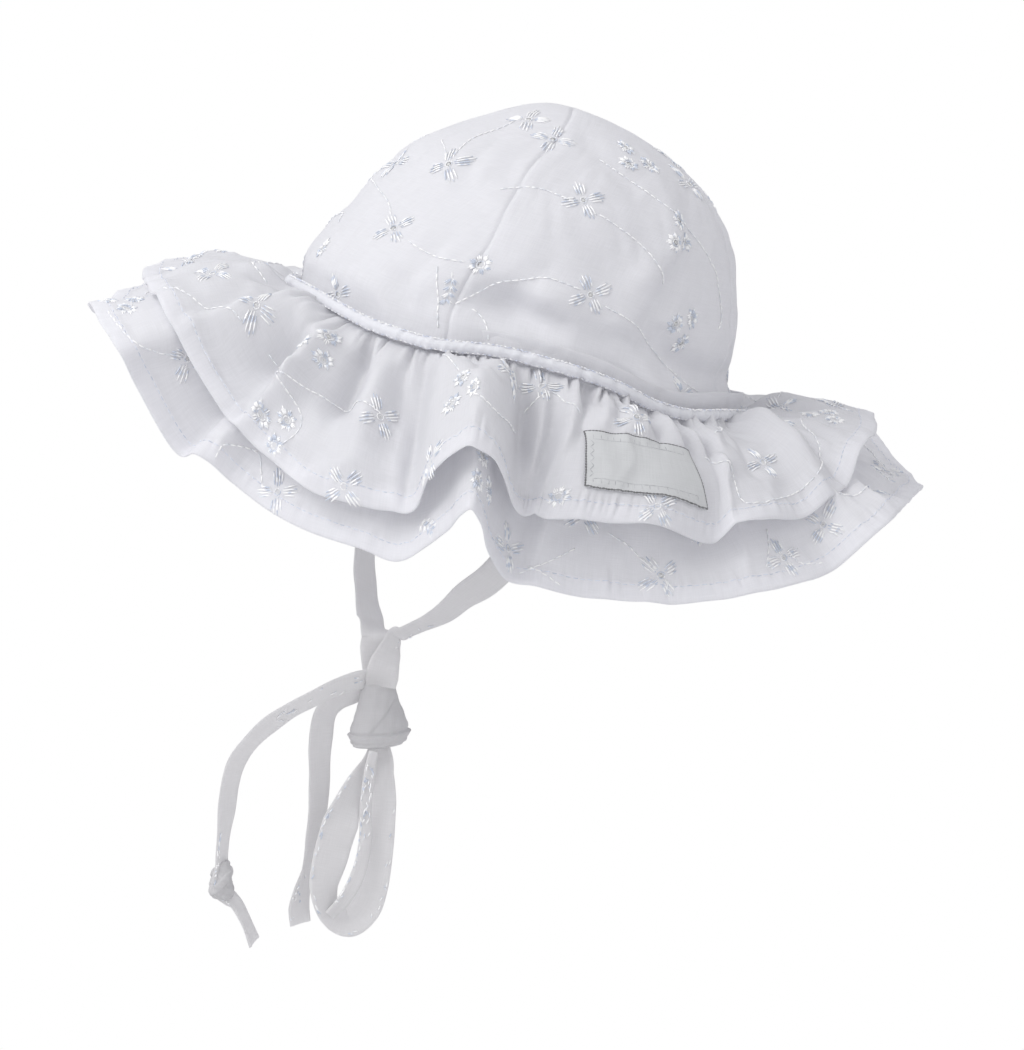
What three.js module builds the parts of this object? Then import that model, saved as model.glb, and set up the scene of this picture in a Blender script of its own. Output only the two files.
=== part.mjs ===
// Ruffled baby sun hat: a four-gore crown with a corded seam, two gathered
// layers of brim, a sewn label and two chin ties knotted in one hanging loop.
// Millimetres, +Z up. The origin is the middle of the crown's open foot.
// The wearer faces -Y, and the wearer's left is +X.
import * as THREE from 'three';

// Driving dimensions of the crown
const FOOT_LENGTH = 156;
const FOOT_WIDTH = 136;
const WORN_TILT = 19;
const FIRST_SEAM = 50;
const GORES = 4;

// Cloth walls, the cord in the piping, and the clearance between pieces
const WALL = 1.0;
const CROWN_WALL = 1.2;
const GAP = 0.3;
const SLACK = 0.3;
const PIPING_DIAMETER = 4.0;

// Where the layers start at the foot: levels along the crown's own axis, and
// steps out of or into the seam
const CROWN_FOOT = -2.2;
const PIPING_LEVEL = 1.0;
const RUFFLE_LEVEL = CROWN_FOOT - GAP - WALL / 2;
const BRIM_LEVEL = RUFFLE_LEVEL - GAP - SLACK - WALL;
const RUFFLE_STEP = SLACK;
const BRIM_STEP = RUFFLE_STEP - GAP - WALL;

// Gathers under the piping: their height is greatest at a short distance down
// the cloth and fades beyond it. The cloth leaves the seam flat for the piping.
const GATHERS = 34;
const GATHER_HEIGHT = 1.5;
const GATHER_PEAK = 8;
const GATHER_REACH = 11;
const FLAT_START = 8;

// What makes the gathers uneven. Columns: waves round the head, strength
const GATHER_DRIFTS = [
  [3, 2],
  [7, 1.5],
];

// The belly of a fold is fuller near the seam and leaner near the hem
const BELLY_AT_SEAM = 1.25;
const BELLY_LOSS = 0.5;

// Mesh steps
const ROUND_STEPS = 112;
const PIPING_SIDES = 6;
const PIPING_STEPS = 60;
const GORE_COLUMNS = 11;

// How the foot seam waves up and down round the head, and the height above it
// over which the crown takes less and less part in that.
// Columns: angle from the front towards the wearer's left, sag of the seam
const SAG_FADE_HEIGHT = 14;
const SEAM_SAG = [
  [-180, 0],
  [-90, 1],
  [-20, 2],
  [5, 2],
  [20, 3.5],
  [35, 5],
  [50, 3.5],
  [62, 1.2],
  [75, 1.2],
  [90, 2.5],
  [103, 4.5],
  [112, 4],
  [125, 1],
  [150, -1],
];

// Levels of the crown. The apex leans a little towards the front.
// Columns: height, reach to the front, reach to the back, half width
const CROWN_LEVELS = [
  [CROWN_FOOT, 77.8, 77.5, 67.5],
  [4, 78.2, 72.5, 67.2],
  [10, 79, 69.5, 67],
  [19, 75.5, 68.6, 65.7],
  [30, 69.5, 66.8, 62.5],
  [41, 64, 62.8, 58],
  [51, 58.5, 59, 52.5],
  [60, 50, 52.5, 45],
  [68, 38.5, 43, 36],
  [74, 29.5, 30, 27],
  [78, 22, 17, 18.5],
  [80.3, 15.5, 4.5, 9.5],
  [81.2, 8.3, -6.5, 0.9],
];

// Soft dents pressed into the crown.
// Columns: angle, height, half width, half height, depth
const CROWN_DENTS = [
  [62, 16, 11, 8, 5],
  [98, 11, 24, 7, 3],
  [135, 9, 18, 8, 3],
  [118, 34, 9, 18, 2],
  [-60, 14, 20, 9, 3],
  [-150, 22, 16, 14, 2],
];

// Folds of the upper ruffle, each followed from the seam to the hem.
// Columns: angle at the seam, reach out of the hem, drop of the hem, swing of
// the hem round the head, height of the belly between seam and hem
const RUFFLE_FOLDS = [
  [-158, 55, -7, 0, 5],
  [-140, 50, 10, 0, 7],
  [-122, 45, 27, 0, 5],
  [-108, 51, 16, 0, 9],
  [-94, 44, 31, 0, 5],
  [-80, 51, 16, 0, 9],
  [-62, 51, 1, 0, 6],
  [-44, 51, 1, 0, 4],
  [-28, 51, 6, 0, 7],
  [-14, 49, 9, 0, 5],
  [-2, 50, 11, -4, 7],
  [5, 50, 14.5, -1.5, 4],
  [11, 43.5, 23.5, -6, 7],
  [18.5, 30, 40, -5, 1],
  [23, 25.5, 44.5, -4, 9],
  [29, 24, 47.5, -2, 5],
  [34, 25, 51, 4, 1.5],
  [38, 24, 50.5, 9, 8],
  [42.5, 23, 49.7, 15, 1],
  [46, 26, 47.5, 17.5, 1],
  [50, 36, 36, 14, 9],
  [54, 45, 27, 13, 10],
  [60, 48, 25, 7, 11],
  [64, 46, 28, 5, 8],
  [68.5, 37, 39, 5, 0],
  [73, 33, 42, 1, 4],
  [77, 34, 41.3, -3.5, 1.5],
  [82, 36.5, 39.5, -8, 7],
  [90, 40, 35, -11, 9],
  [100, 43, 30, -13, 9],
  [108, 43, 29.5, -5, 9],
  [113, 46.5, 22.7, -12, 3],
  [118, 48, 20, -9.5, 7],
  [125, 49, 16, -5.5, 5],
  [130, 49, 6, 0, 8],
  [138, 46, -5, -5, 3],
  [150, 44, -11, 0, 4],
  [164, 45, -15, 0, 6],
  [177, 52, -17, 0, 4],
  [192, 54, -13, 0, 5],
];

// Folds of the lower brim, with the same columns
const BRIM_FOLDS = [
  [-152, 75, 6, 0, 4],
  [-138, 68, 26, 0, 3],
  [-122, 56, 47, 0, 3],
  [-108, 62, 43, 0, 6],
  [-94, 48, 59, 0, 3],
  [-80, 60, 45, 0, 6],
  [-64, 68, 26, 0, 4],
  [-48, 67, 12, 0, 3],
  [-34, 61, 14, 0, 5],
  [-16, 62, 23, 0, 4],
  [0, 68, 21.5, -2, 4],
  [6, 64, 29, 0, 4],
  [10, 54, 38, -10, 2],
  [14, 38, 53, -12, 2],
  [18, 35, 52, -10, 4],
  [24, 23, 57, -11, 2],
  [34, 18, 62, -2, 2],
  [41, 18, 62.5, 10, 3],
  [47, 22, 61.5, 17, 1],
  [51, 33, 50, 21, 6],
  [55, 40, 46, 17, 10],
  [61, 43, 46, 12, 10],
  [66, 36, 54, 7, 5],
  [71, 28, 61, 6, 1],
  [78, 32, 60, 4, 2],
  [86, 34, 58, 6, 4],
  [96, 42, 52, 6, 6],
  [105, 50, 45, 2, 2],
  [114, 57, 38, 0, 4],
  [122, 62, 29, 4, 4],
  [128, 67, 16, 0, 4],
  [140, 64, 7.5, 0, 1],
  [155, 64, 3, 0, 3],
  [172, 74, -1, 0, 2],
  [182, 74, -7, -2, 3],
  [192, 77, -14, -3, 3],
];

// How far down the cloth each layer has its rows of vertices, seam 0, hem 1
const RUFFLE_ROWS = [0, 0.08, 0.18, 0.31, 0.47, 0.65, 0.83, 1];
const BRIM_ROWS = [0, 0.07, 0.16, 0.32, 0.5, 0.68, 0.84, 1];

// The label's place on the ruffle: angles at the seam, and rows of the ruffle
const LABEL_FROM_ANGLE = 83;
const LABEL_TO_ANGLE = 106;
const LABEL_TOP_ROW = 4;
const LABEL_FOOT_ROW = 6;
const LABEL_THICKNESS = 0.8;

// Straps: a tie from each side of the crown, two tails and a loop below the
// knot. Columns: x, y, z, turn of the flat side about the strap, width
const STRAP_THICKNESS = 1.0;
const TIE_LEFT = [
  [64.5, 1, 0, 90, 10],
  [64.4, -1.5, -8, 95, 10],
  [62, -6.5, -24, 106, 10],
  [57, -14.5, -41, 113, 10],
  [50, -24.5, -56, 116, 10],
  [43, -30.5, -66, 112, 10],
  [33, -35, -73.5, 100, 10],
  [22, -39, -82, 84, 9.5],
  [12, -43, -88, 72, 8],
  [6, -45.5, -91, 80, 6],
  [2.6, -47.4, -92.2, 90, 6],
];
const TIE_RIGHT = [
  [-64.8, 1, 0, 90, 10],
  [-64.8, -3, -8, 88, 10],
  [-61, -16, -26, 80, 10],
  [-54, -31.5, -48, 68, 10],
  [-40, -40.5, -70, 68, 10],
  [-26, -46, -82.5, 76, 10],
  [-13, -50, -89.5, 92, 9],
  [-2.2, -52.4, -92.8, 112, 8],
];
const TAIL_LONG = [
  [2, -59.4, -106.2, 70, 7.5],
  [2, -68.7, -108.1, 62, 9],
  [1, -75.7, -111.1, 54, 10],
  [-1, -83.7, -115.3, 56, 10],
  [-3.5, -92.6, -122.2, 58, 10],
  [-6, -99.9, -131, 62, 10],
  [-8, -102.5, -140, 60, 10],
  [-8, -104, -152, 55, 9],
  [-8, -105.3, -164, 56, 7],
];
const TAIL_KNOT = [
  [-8, -105.5, -167, 60, 6.5],
  [-8, -105.8, -170, 60, 8.5],
  [-8, -105.5, -175, 60, 9.5],
  [-8, -103.8, -177.8, 56, 7],
];
const TAIL_END = [
  [-8, -101, -180.5, 48, 6],
  [-8, -97.5, -187.5, 46, 7],
  [-8, -94.8, -195.6, 46, 8],
];
const TAIL_SHORT = [
  [-2, -59.9, -112.4, 72, 7.5],
  [-4, -65.2, -114, 74, 9],
  [-4, -69.7, -118, 74, 10],
  [-4, -71.7, -127.9, 70, 10],
  [-4, -72.2, -140.9, 68, 10],
  [-4, -72.9, -152.8, 64, 9.5],
  [-4, -74.8, -163.5, 54, 8],
  [-4, -76.8, -171.2, 48, 8],
  [-4.2, -79, -178.5, 62, 9],
  [-4.5, -80, -184, 74, 9],
  [-4.5, -79.5, -190, 78, 8],
];
const LOOP = [
  [3.5, -57.6, -134.5, 62, 7],
  [5.5, -64, -143, 80, 9.5],
  [7, -69, -153, 100, 12.5],
  [7, -72.5, -164, 100, 12],
  [7, -74.8, -175, 80, 11],
  [7, -72.5, -184, 60, 10.5],
  [7, -66.5, -187.5, 56, 11],
  [7, -61, -183.5, 60, 11.5],
  [7, -58, -175, 62, 11.5],
  [7, -55.5, -161, 60, 10.5],
  [6, -53.7, -148, 54, 9.5],
  [3.4, -52, -139, 40, 7.5],
  [2, -51, -134.4, 34, 7],
];
const TAIL_KNOT_THICKNESS = 6;

// The knot, as a stack of oval sections.
// Columns: z, middle y, half width front to back, half thickness
const KNOT_X = 1;
const KNOT_SIDES = 12;
const KNOT_SECTIONS = [
  [-93.6, -51, 3.8, 1.6],
  [-94.6, -51, 5.4, 2.4],
  [-99, -51.3, 6.2, 2.9],
  [-104, -52, 6, 3],
  [-107.5, -52.6, 5.3, 3.1],
  [-111, -52.8, 5.8, 3.6],
  [-115.5, -52.7, 7.2, 4.6],
  [-121, -52.5, 9.2, 5.6],
  [-124.6, -52.5, 10.4, 6],
  [-126, -52.5, 10.1, 5.6],
  [-129, -52.8, 9.6, 5.4],
  [-132.4, -53.4, 7, 4.2],
  [-133.8, -53.6, 4.4, 3],
];

// Colours and finish of the cloth
const CLOTH = { color: 0xf1f3f8, roughness: 0.85, metalness: 0 };
const TIE_CLOTH = { color: 0xd9dbde, roughness: 0.85, metalness: 0 };
const LABEL_CLOTH = { color: 0xcfd0d2, roughness: 0.8, metalness: 0 };

// Directions of the worn hat: its own side, front and axis
const tilt = THREE.MathUtils.degToRad(WORN_TILT);
const SIDE = new THREE.Vector3(1, 0, 0);
const FRONT = new THREE.Vector3(0, -Math.cos(tilt), Math.sin(tilt));
const AXIS = new THREE.Vector3(0, Math.sin(tilt), Math.cos(tilt));

function place(side, front, up) {
  return new THREE.Vector3()
    .addScaledVector(SIDE, side)
    .addScaledVector(FRONT, front)
    .addScaledVector(AXIS, up);
}

// Reads a table whose first column is an angle, smoothly and all the way round
function readRound(table, angle) {
  const rows = table
    .map((row) => [((row[0] % 360) + 360) % 360, ...row.slice(1)])
    .sort((a, b) => a[0] - b[0]);
  const count = rows.length;
  const wanted = ((angle % 360) + 360) % 360;
  const at = (i) => {
    const turns = Math.floor(i / count);
    const row = rows[i - turns * count];
    return [row[0] + 360 * turns, ...row.slice(1)];
  };
  let i = count - 1;
  while (i >= 0 && rows[i][0] > wanted) i -= 1;
  const [before, from, to, after] = [at(i - 1), at(i), at(i + 1), at(i + 2)];
  const span = to[0] - from[0];
  const t = (wanted - from[0]) / span;
  const slope = (p, q, column) => (q[column] - p[column]) / (q[0] - p[0]);
  const tangent = (p, q, r, column) => {
    const left = q[0] - p[0];
    const right = r[0] - q[0];
    return (slope(p, q, column) * right + slope(q, r, column) * left) / (left + right);
  };
  const values = [];
  for (let column = 1; column < from.length; column += 1) {
    const leave = tangent(before, from, to, column) * span;
    const arrive = tangent(from, to, after, column) * span;
    const a = from[column];
    const b = to[column];
    values.push(
      a + t * (leave + t * (3 * (b - a) - 2 * leave - arrive + t * (2 * (a - b) + leave + arrive))),
    );
  }
  return values;
}

// The seam round the foot: a point on it, the way out and the way round
function seamAt(angle, grow = 0) {
  const turn = THREE.MathUtils.degToRad(angle);
  const side = (FOOT_WIDTH / 2) * Math.sin(turn);
  const front = (FOOT_LENGTH / 2) * Math.cos(turn);
  const out = new THREE.Vector2(side / FOOT_WIDTH ** 2, front / FOOT_LENGTH ** 2).normalize();
  return {
    point: place(side + out.x * grow, front + out.y * grow, 0),
    out: place(out.x, out.y, 0),
    round: place(out.y, -out.x, 0),
    sag: readRound(SEAM_SAG, angle)[0],
  };
}

const RUFFLE = { folds: RUFFLE_FOLDS, level: RUFFLE_LEVEL, step: RUFFLE_STEP };
const BRIM = { folds: BRIM_FOLDS, level: BRIM_LEVEL, step: BRIM_STEP };

// Surface of one gathered layer: angle at the seam, share of the way to the hem
function layerPoint({ folds, level, step }, angle, share) {
  const seam = seamAt(angle, step);
  const [reach, drop, swing, belly] = readRound(folds, angle);
  const turn = THREE.MathUtils.degToRad(angle);
  const length = Math.hypot(reach, drop);
  let drift = 0;
  for (const [waves, strength] of GATHER_DRIFTS) drift += strength * Math.sin(waves * turn);
  const fade = Math.exp(-(((share * length - GATHER_PEAK) / GATHER_REACH) ** 2));
  const pleat = GATHER_HEIGHT * Math.sin(GATHERS * turn + drift) * fade;
  const arch = belly * 4 * share * (1 - share) * (BELLY_AT_SEAM - BELLY_LOSS * share) + pleat;
  const start = 1 - Math.exp(-(((share * length) / FLAT_START) ** 2));
  const out = reach * share + (drop / length) * arch * start;
  const fall = drop > 0 ? drop * share : drop * share * start;
  const up = level - seam.sag - fall + (reach / length) * arch * start;
  return seam.point
    .clone()
    .addScaledVector(seam.out, out)
    .addScaledVector(seam.round, swing * share)
    .addScaledVector(AXIS, up);
}

// Surface of the crown: angle, row of the level table
function crownPoint(angle, level) {
  const [height, front, back, side] = CROWN_LEVELS[level];
  const turn = THREE.MathUtils.degToRad(angle);
  let x = side * Math.sin(turn);
  let y = (front - back) / 2 + ((front + back) / 2) * Math.cos(turn);
  const radius = Math.hypot(x, y);
  for (const [dentAngle, dentHeight, halfWidth, halfHeight, depth] of CROWN_DENTS) {
    const away = THREE.MathUtils.euclideanModulo(angle - dentAngle + 180, 360) - 180;
    const along = THREE.MathUtils.degToRad(away) * (FOOT_WIDTH / 2);
    const press = Math.exp(-((along / halfWidth) ** 2) - ((height - dentHeight) / halfHeight) ** 2);
    x -= (x / radius) * depth * press;
    y -= (y / radius) * depth * press;
  }
  const sag = readRound(SEAM_SAG, angle)[0] * Math.exp(-Math.max(height, 0) / SAG_FADE_HEIGHT);
  return place(x, y, height - sag);
}

// A closed body from rings of points. Every ring has the same number of points,
// and the two ends are joined to each other when closed is true. Otherwise each
// end is capped: by a fan, or where a ring runs down one face of a wall and back
// up the other, by a strip between its faces.
function loft(rings, closed, isWall = false) {
  const positions = rings.flat().flatMap((p) => [p.x, p.y, p.z]);
  const sides = rings[0].length;
  const index = [];
  const steps = closed ? rings.length : rings.length - 1;
  for (let i = 0; i < steps; i += 1) {
    const next = (i + 1) % rings.length;
    for (let j = 0; j < sides; j += 1) {
      const k = (j + 1) % sides;
      const [a, b] = [i * sides + j, i * sides + k];
      const [c, d] = [next * sides + k, next * sides + j];
      index.push(a, b, c, a, c, d);
    }
  }
  const last = (rings.length - 1) * sides;
  if (!closed && isWall) {
    for (let j = 0; j < sides / 2 - 1; j += 1) {
      const across = sides - 1 - j;
      index.push(j, across, j + 1, j + 1, across, across - 1);
      index.push(last + j, last + j + 1, last + across);
      index.push(last + j + 1, last + across - 1, last + across);
    }
  } else if (!closed) {
    for (let j = 1; j < sides - 1; j += 1) {
      index.push(0, j + 1, j);
      index.push(last, last + j, last + j + 1);
    }
  }
  return facingOut(positions, index);
}

// Turns the triangles round if they enclose a negative volume
function facingOut(positions, index) {
  const point = (i) => new THREE.Vector3().fromArray(positions, 3 * i);
  let volume = 0;
  for (let i = 0; i < index.length; i += 3) {
    volume += point(index[i]).dot(point(index[i + 1]).cross(point(index[i + 2])));
  }
  if (volume < 0) {
    for (let i = 0; i < index.length; i += 3) {
      [index[i + 1], index[i + 2]] = [index[i + 2], index[i + 1]];
    }
  }
  const geometry = new THREE.BufferGeometry();
  geometry.setAttribute('position', new THREE.Float32BufferAttribute(positions, 3));
  geometry.setIndex(index);
  geometry.computeVertexNormals();
  return geometry;
}

// Normal of a grid of points at one of them
function gridNormal(grid, i, j, closed) {
  const columns = grid.length;
  const rows = grid[0].length;
  const previous = closed ? (i + columns - 1) % columns : Math.max(i - 1, 0);
  const next = closed ? (i + 1) % columns : Math.min(i + 1, columns - 1);
  const along = grid[next][j].clone().sub(grid[previous][j]);
  const down = grid[i][Math.min(j + 1, rows - 1)].clone().sub(grid[i][Math.max(j - 1, 0)]);
  return down.cross(along).normalize();
}

// A wall of even thickness round a grid of points, lifted off it by offset.
// Each column becomes one ring: down the outer face and back up the inner one.
function wall(grid, thickness, closed, offset = 0) {
  const rings = grid.map((column, i) => {
    const outer = column.map((p, j) => {
      const normal = gridNormal(grid, i, j, closed);
      return p.clone().addScaledVector(normal, offset + thickness / 2);
    });
    const inner = column.map((p, j) => {
      const normal = gridNormal(grid, i, j, closed);
      return p.clone().addScaledVector(normal, offset - thickness / 2);
    });
    return [...outer, ...inner.reverse()];
  });
  return loft(rings, closed, true);
}

// Even steps round the head, in degrees
function roundAngles(steps) {
  return Array.from({ length: steps }, (_, i) => (360 * i) / steps);
}

// One gore, a hair short of the seams on both sides
function goreGeometry(number) {
  const fromAngle = FIRST_SEAM + (360 / GORES) * number;
  const grid = [];
  for (let i = 0; i <= GORE_COLUMNS; i += 1) {
    const column = CROWN_LEVELS.map(([, front, back, side], level) => {
      const radius = (front + back) / 4 + side / 2;
      const inset = THREE.MathUtils.radToDeg(GAP / 2 / radius);
      const share = i / GORE_COLUMNS;
      const angle = fromAngle + inset + share * (360 / GORES - 2 * inset);
      return crownPoint(angle, level);
    });
    grid.push(column.reverse());
  }
  return wall(grid, CROWN_WALL, false);
}

// A layer's surface as columns of points, one column for each angle
function layerGrid(layer, rows, angles) {
  return angles.map((angle) => rows.map((share) => layerPoint(layer, angle, share)));
}

// The cord in its casing, lying on the seam outside the crown
function pipingGeometry() {
  const grow = CROWN_WALL / 2 + GAP + SLACK + PIPING_DIAMETER / 2;
  const rings = roundAngles(PIPING_STEPS).map((angle) => {
    const seam = seamAt(angle, grow);
    const section = [];
    for (let k = 0; k < PIPING_SIDES; k += 1) {
      const turn = (2 * Math.PI * k) / PIPING_SIDES;
      const point = seam.point
        .clone()
        .addScaledVector(seam.out, (PIPING_DIAMETER / 2) * Math.cos(turn))
        .addScaledVector(AXIS, PIPING_LEVEL - seam.sag + (PIPING_DIAMETER / 2) * Math.sin(turn));
      section.push(point);
    }
    return section;
  });
  return loft(rings, true);
}

// The label follows the ruffle's own rows and columns, a little above them
function labelGeometry() {
  const step = 360 / ROUND_STEPS;
  const angles = roundAngles(ROUND_STEPS).filter(
    (angle) => angle >= LABEL_FROM_ANGLE - step / 2 && angle <= LABEL_TO_ANGLE + step / 2,
  );
  const rows = RUFFLE_ROWS.slice(LABEL_TOP_ROW, LABEL_FOOT_ROW + 1);
  const grid = layerGrid(RUFFLE, rows, angles);
  return wall(grid, LABEL_THICKNESS, false, WALL / 2 + GAP + SLACK + LABEL_THICKNESS / 2);
}

// A flat strap along the points of a route. Turn 0 lays its width along X.
function strapRings(route, thickness, stepsPerRow) {
  const curve = new THREE.CatmullRomCurve3(
    route.map(([x, y, z]) => new THREE.Vector3(x, y, z)),
    false,
    'centripetal',
  );
  const last = route.length - 1;
  const rings = [];
  for (let i = 0; i <= last * stepsPerRow; i += 1) {
    const position = i / stepsPerRow;
    const row = Math.min(Math.floor(position), last - 1);
    const part = position - row;
    const blend = (column) => route[row][column] * (1 - part) + route[row + 1][column] * part;
    const t = position / last;
    const tangent = curve.getTangent(t);
    const level = SIDE.clone().addScaledVector(tangent, -SIDE.dot(tangent)).normalize();
    const normal = tangent.clone().cross(level);
    const turn = THREE.MathUtils.degToRad(blend(3));
    const across = level.clone().multiplyScalar(Math.cos(turn)).addScaledVector(normal, Math.sin(turn));
    const through = tangent.clone().cross(across);
    const halfWidth = blend(4) / 2;
    const halfThickness = (typeof thickness === 'function' ? thickness(t) : thickness) / 2;
    const centre = curve.getPoint(t);
    rings.push(
      [[1, 1], [-1, 1], [-1, -1], [1, -1]].map(([a, b]) => centre
        .clone()
        .addScaledVector(across, a * halfWidth)
        .addScaledVector(through, b * halfThickness)),
    );
  }
  return rings;
}

function strapGeometry(route, stepsPerRow = 2) {
  return loft(strapRings(route, STRAP_THICKNESS, stepsPerRow), false);
}

// The long tail: strap, small overhand knot, and the short end below it
function longTailGeometry() {
  const swell = (t) => STRAP_THICKNESS + (TAIL_KNOT_THICKNESS - STRAP_THICKNESS) * Math.sin(Math.PI * t);
  const rings = [
    ...strapRings(TAIL_LONG, STRAP_THICKNESS, 2),
    ...strapRings(TAIL_KNOT, swell, 2),
    ...strapRings(TAIL_END, STRAP_THICKNESS, 2),
  ];
  return loft(rings, false);
}

// The slip knot of the two ties
function knotGeometry() {
  const rings = KNOT_SECTIONS.map(([z, middle, halfWidth, halfThickness]) => {
    const ring = [];
    for (let k = 0; k < KNOT_SIDES; k += 1) {
      const turn = (2 * Math.PI * k) / KNOT_SIDES;
      ring.push(new THREE.Vector3(
        KNOT_X + halfThickness * Math.cos(turn),
        middle + halfWidth * Math.sin(turn),
        z,
      ));
    }
    return ring;
  });
  return loft(rings, false);
}

const group = new THREE.Group();

function add(name, geometry, finish) {
  const mesh = new THREE.Mesh(geometry, new THREE.MeshStandardMaterial(finish));
  mesh.name = name;
  group.add(mesh);
}

// Crown, from the gore behind the left seam round to the front
['crown_panel_left', 'crown_panel_back', 'crown_panel_right', 'crown_panel_front'].forEach(
  (name, number) => add(name, goreGeometry(number), CLOTH),
);

// Foot of the crown and the two gathered layers below it
const angles = roundAngles(ROUND_STEPS);
add('piping', pipingGeometry(), CLOTH);
add('upper_ruffle', wall(layerGrid(RUFFLE, RUFFLE_ROWS, angles), WALL, true), CLOTH);
add('lower_brim', wall(layerGrid(BRIM, BRIM_ROWS, angles), WALL, true), CLOTH);
add('label', labelGeometry(), LABEL_CLOTH);

// Chin ties
add('tie_left', strapGeometry(TIE_LEFT), TIE_CLOTH);
add('tie_right', strapGeometry(TIE_RIGHT), TIE_CLOTH);
add('tie_knot', knotGeometry(), TIE_CLOTH);
add('tie_loop', strapGeometry(LOOP), TIE_CLOTH);
add('tail_long', longTailGeometry(), TIE_CLOTH);
add('tail_short', strapGeometry(TAIL_SHORT), TIE_CLOTH);

export default group;
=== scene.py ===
import math

import bpy
import numpy as np
from mathutils import Matrix, Vector


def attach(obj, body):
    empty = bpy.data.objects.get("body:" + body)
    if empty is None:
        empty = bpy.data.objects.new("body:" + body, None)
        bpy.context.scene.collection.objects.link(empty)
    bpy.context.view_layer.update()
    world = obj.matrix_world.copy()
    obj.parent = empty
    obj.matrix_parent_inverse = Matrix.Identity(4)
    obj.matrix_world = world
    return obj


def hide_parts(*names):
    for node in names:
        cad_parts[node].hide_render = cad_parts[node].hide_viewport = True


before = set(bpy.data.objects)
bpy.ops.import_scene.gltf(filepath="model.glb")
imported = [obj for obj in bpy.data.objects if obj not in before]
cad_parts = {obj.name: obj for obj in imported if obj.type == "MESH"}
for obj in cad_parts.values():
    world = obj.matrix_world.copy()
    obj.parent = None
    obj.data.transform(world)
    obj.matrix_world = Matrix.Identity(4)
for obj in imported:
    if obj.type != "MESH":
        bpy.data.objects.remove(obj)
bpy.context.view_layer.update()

# Units: the tables are in millimetres, as in the part's source; meshes are in metres
MM = 0.001

# The photograph: its frame, and where the camera stood
FRAME_PIXELS = (1024, 1050)
FOCAL_PIXELS = 3614
VIEW_AZIMUTH = 66
VIEW_ELEVATION = 12
VIEW_DISTANCE = 1.2
ORIGIN_PIXEL = (522, 350)
SENSOR_WIDTH = 36

# Driving dimensions of the hat
FOOT_LENGTH = 156
FOOT_WIDTH = 136
WORN_TILT = 19
FIRST_SEAM = 50
GORES = 4
WALL = 1.0
CROWN_WALL = 1.2
GAP = 0.3
SLACK = 0.3
PIPING_DIAMETER = 4.0
CROWN_FOOT = -2.2
PIPING_LEVEL = 1.0
RUFFLE_LEVEL = CROWN_FOOT - GAP - WALL / 2
BRIM_LEVEL = RUFFLE_LEVEL - GAP - SLACK - WALL
RUFFLE_STEP = SLACK
BRIM_STEP = RUFFLE_STEP - GAP - WALL
GATHERS = 34
GATHER_HEIGHT = 1.5
GATHER_PEAK = 8
GATHER_REACH = 11
FLAT_START = 8
GATHER_DRIFTS = [(3, 2), (7, 1.5)]
BELLY_AT_SEAM = 1.25
BELLY_LOSS = 0.5
SAG_FADE_HEIGHT = 14

# Columns: angle from the front towards the wearer's left, sag of the seam
SEAM_SAG = [
    (-180, 0), (-90, 1), (-20, 2), (5, 2), (20, 3.5), (35, 5), (50, 3.5),
    (62, 1.2), (75, 1.2), (90, 2.5), (103, 4.5), (112, 4), (125, 1), (150, -1),
]

# How much lower the dressed seam hangs; the hems stay where they are. Columns: angle, dip
SEAM_DIP = [
    (-180, 0), (-12, 0), (14, 0.9), (27, 1.5), (36, 1.5),
    (46, 2.1), (57, 1.4), (68, 0.6), (86, -0.6), (104, 0),
]

# Columns: height, reach to the front, reach to the back, half width
CROWN_LEVELS = [
    (CROWN_FOOT, 77.8, 77.5, 67.5),
    (4, 78.2, 72.5, 67.2),
    (10, 79, 69.5, 67),
    (19, 75.5, 68.6, 65.7),
    (30, 69.5, 66.8, 62.5),
    (41, 64, 62.8, 58),
    (51, 58.5, 59, 52.5),
    (60, 50, 52.5, 45),
    (68, 38.5, 43, 36),
    (74, 29.5, 30, 27),
    (78, 22, 17, 18.5),
    (80.3, 15.5, 4.5, 9.5),
    (81.2, 8.3, -6.5, 0.9),
]

# Columns: angle, height, half width, half height, depth
CROWN_DENTS = [
    (62, 16, 11, 8, 5),
    (98, 11, 24, 7, 3),
    (135, 9, 18, 8, 3),
    (118, 34, 9, 18, 2),
    (-60, 14, 20, 9, 3),
    (-150, 22, 16, 14, 2),
]

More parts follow.
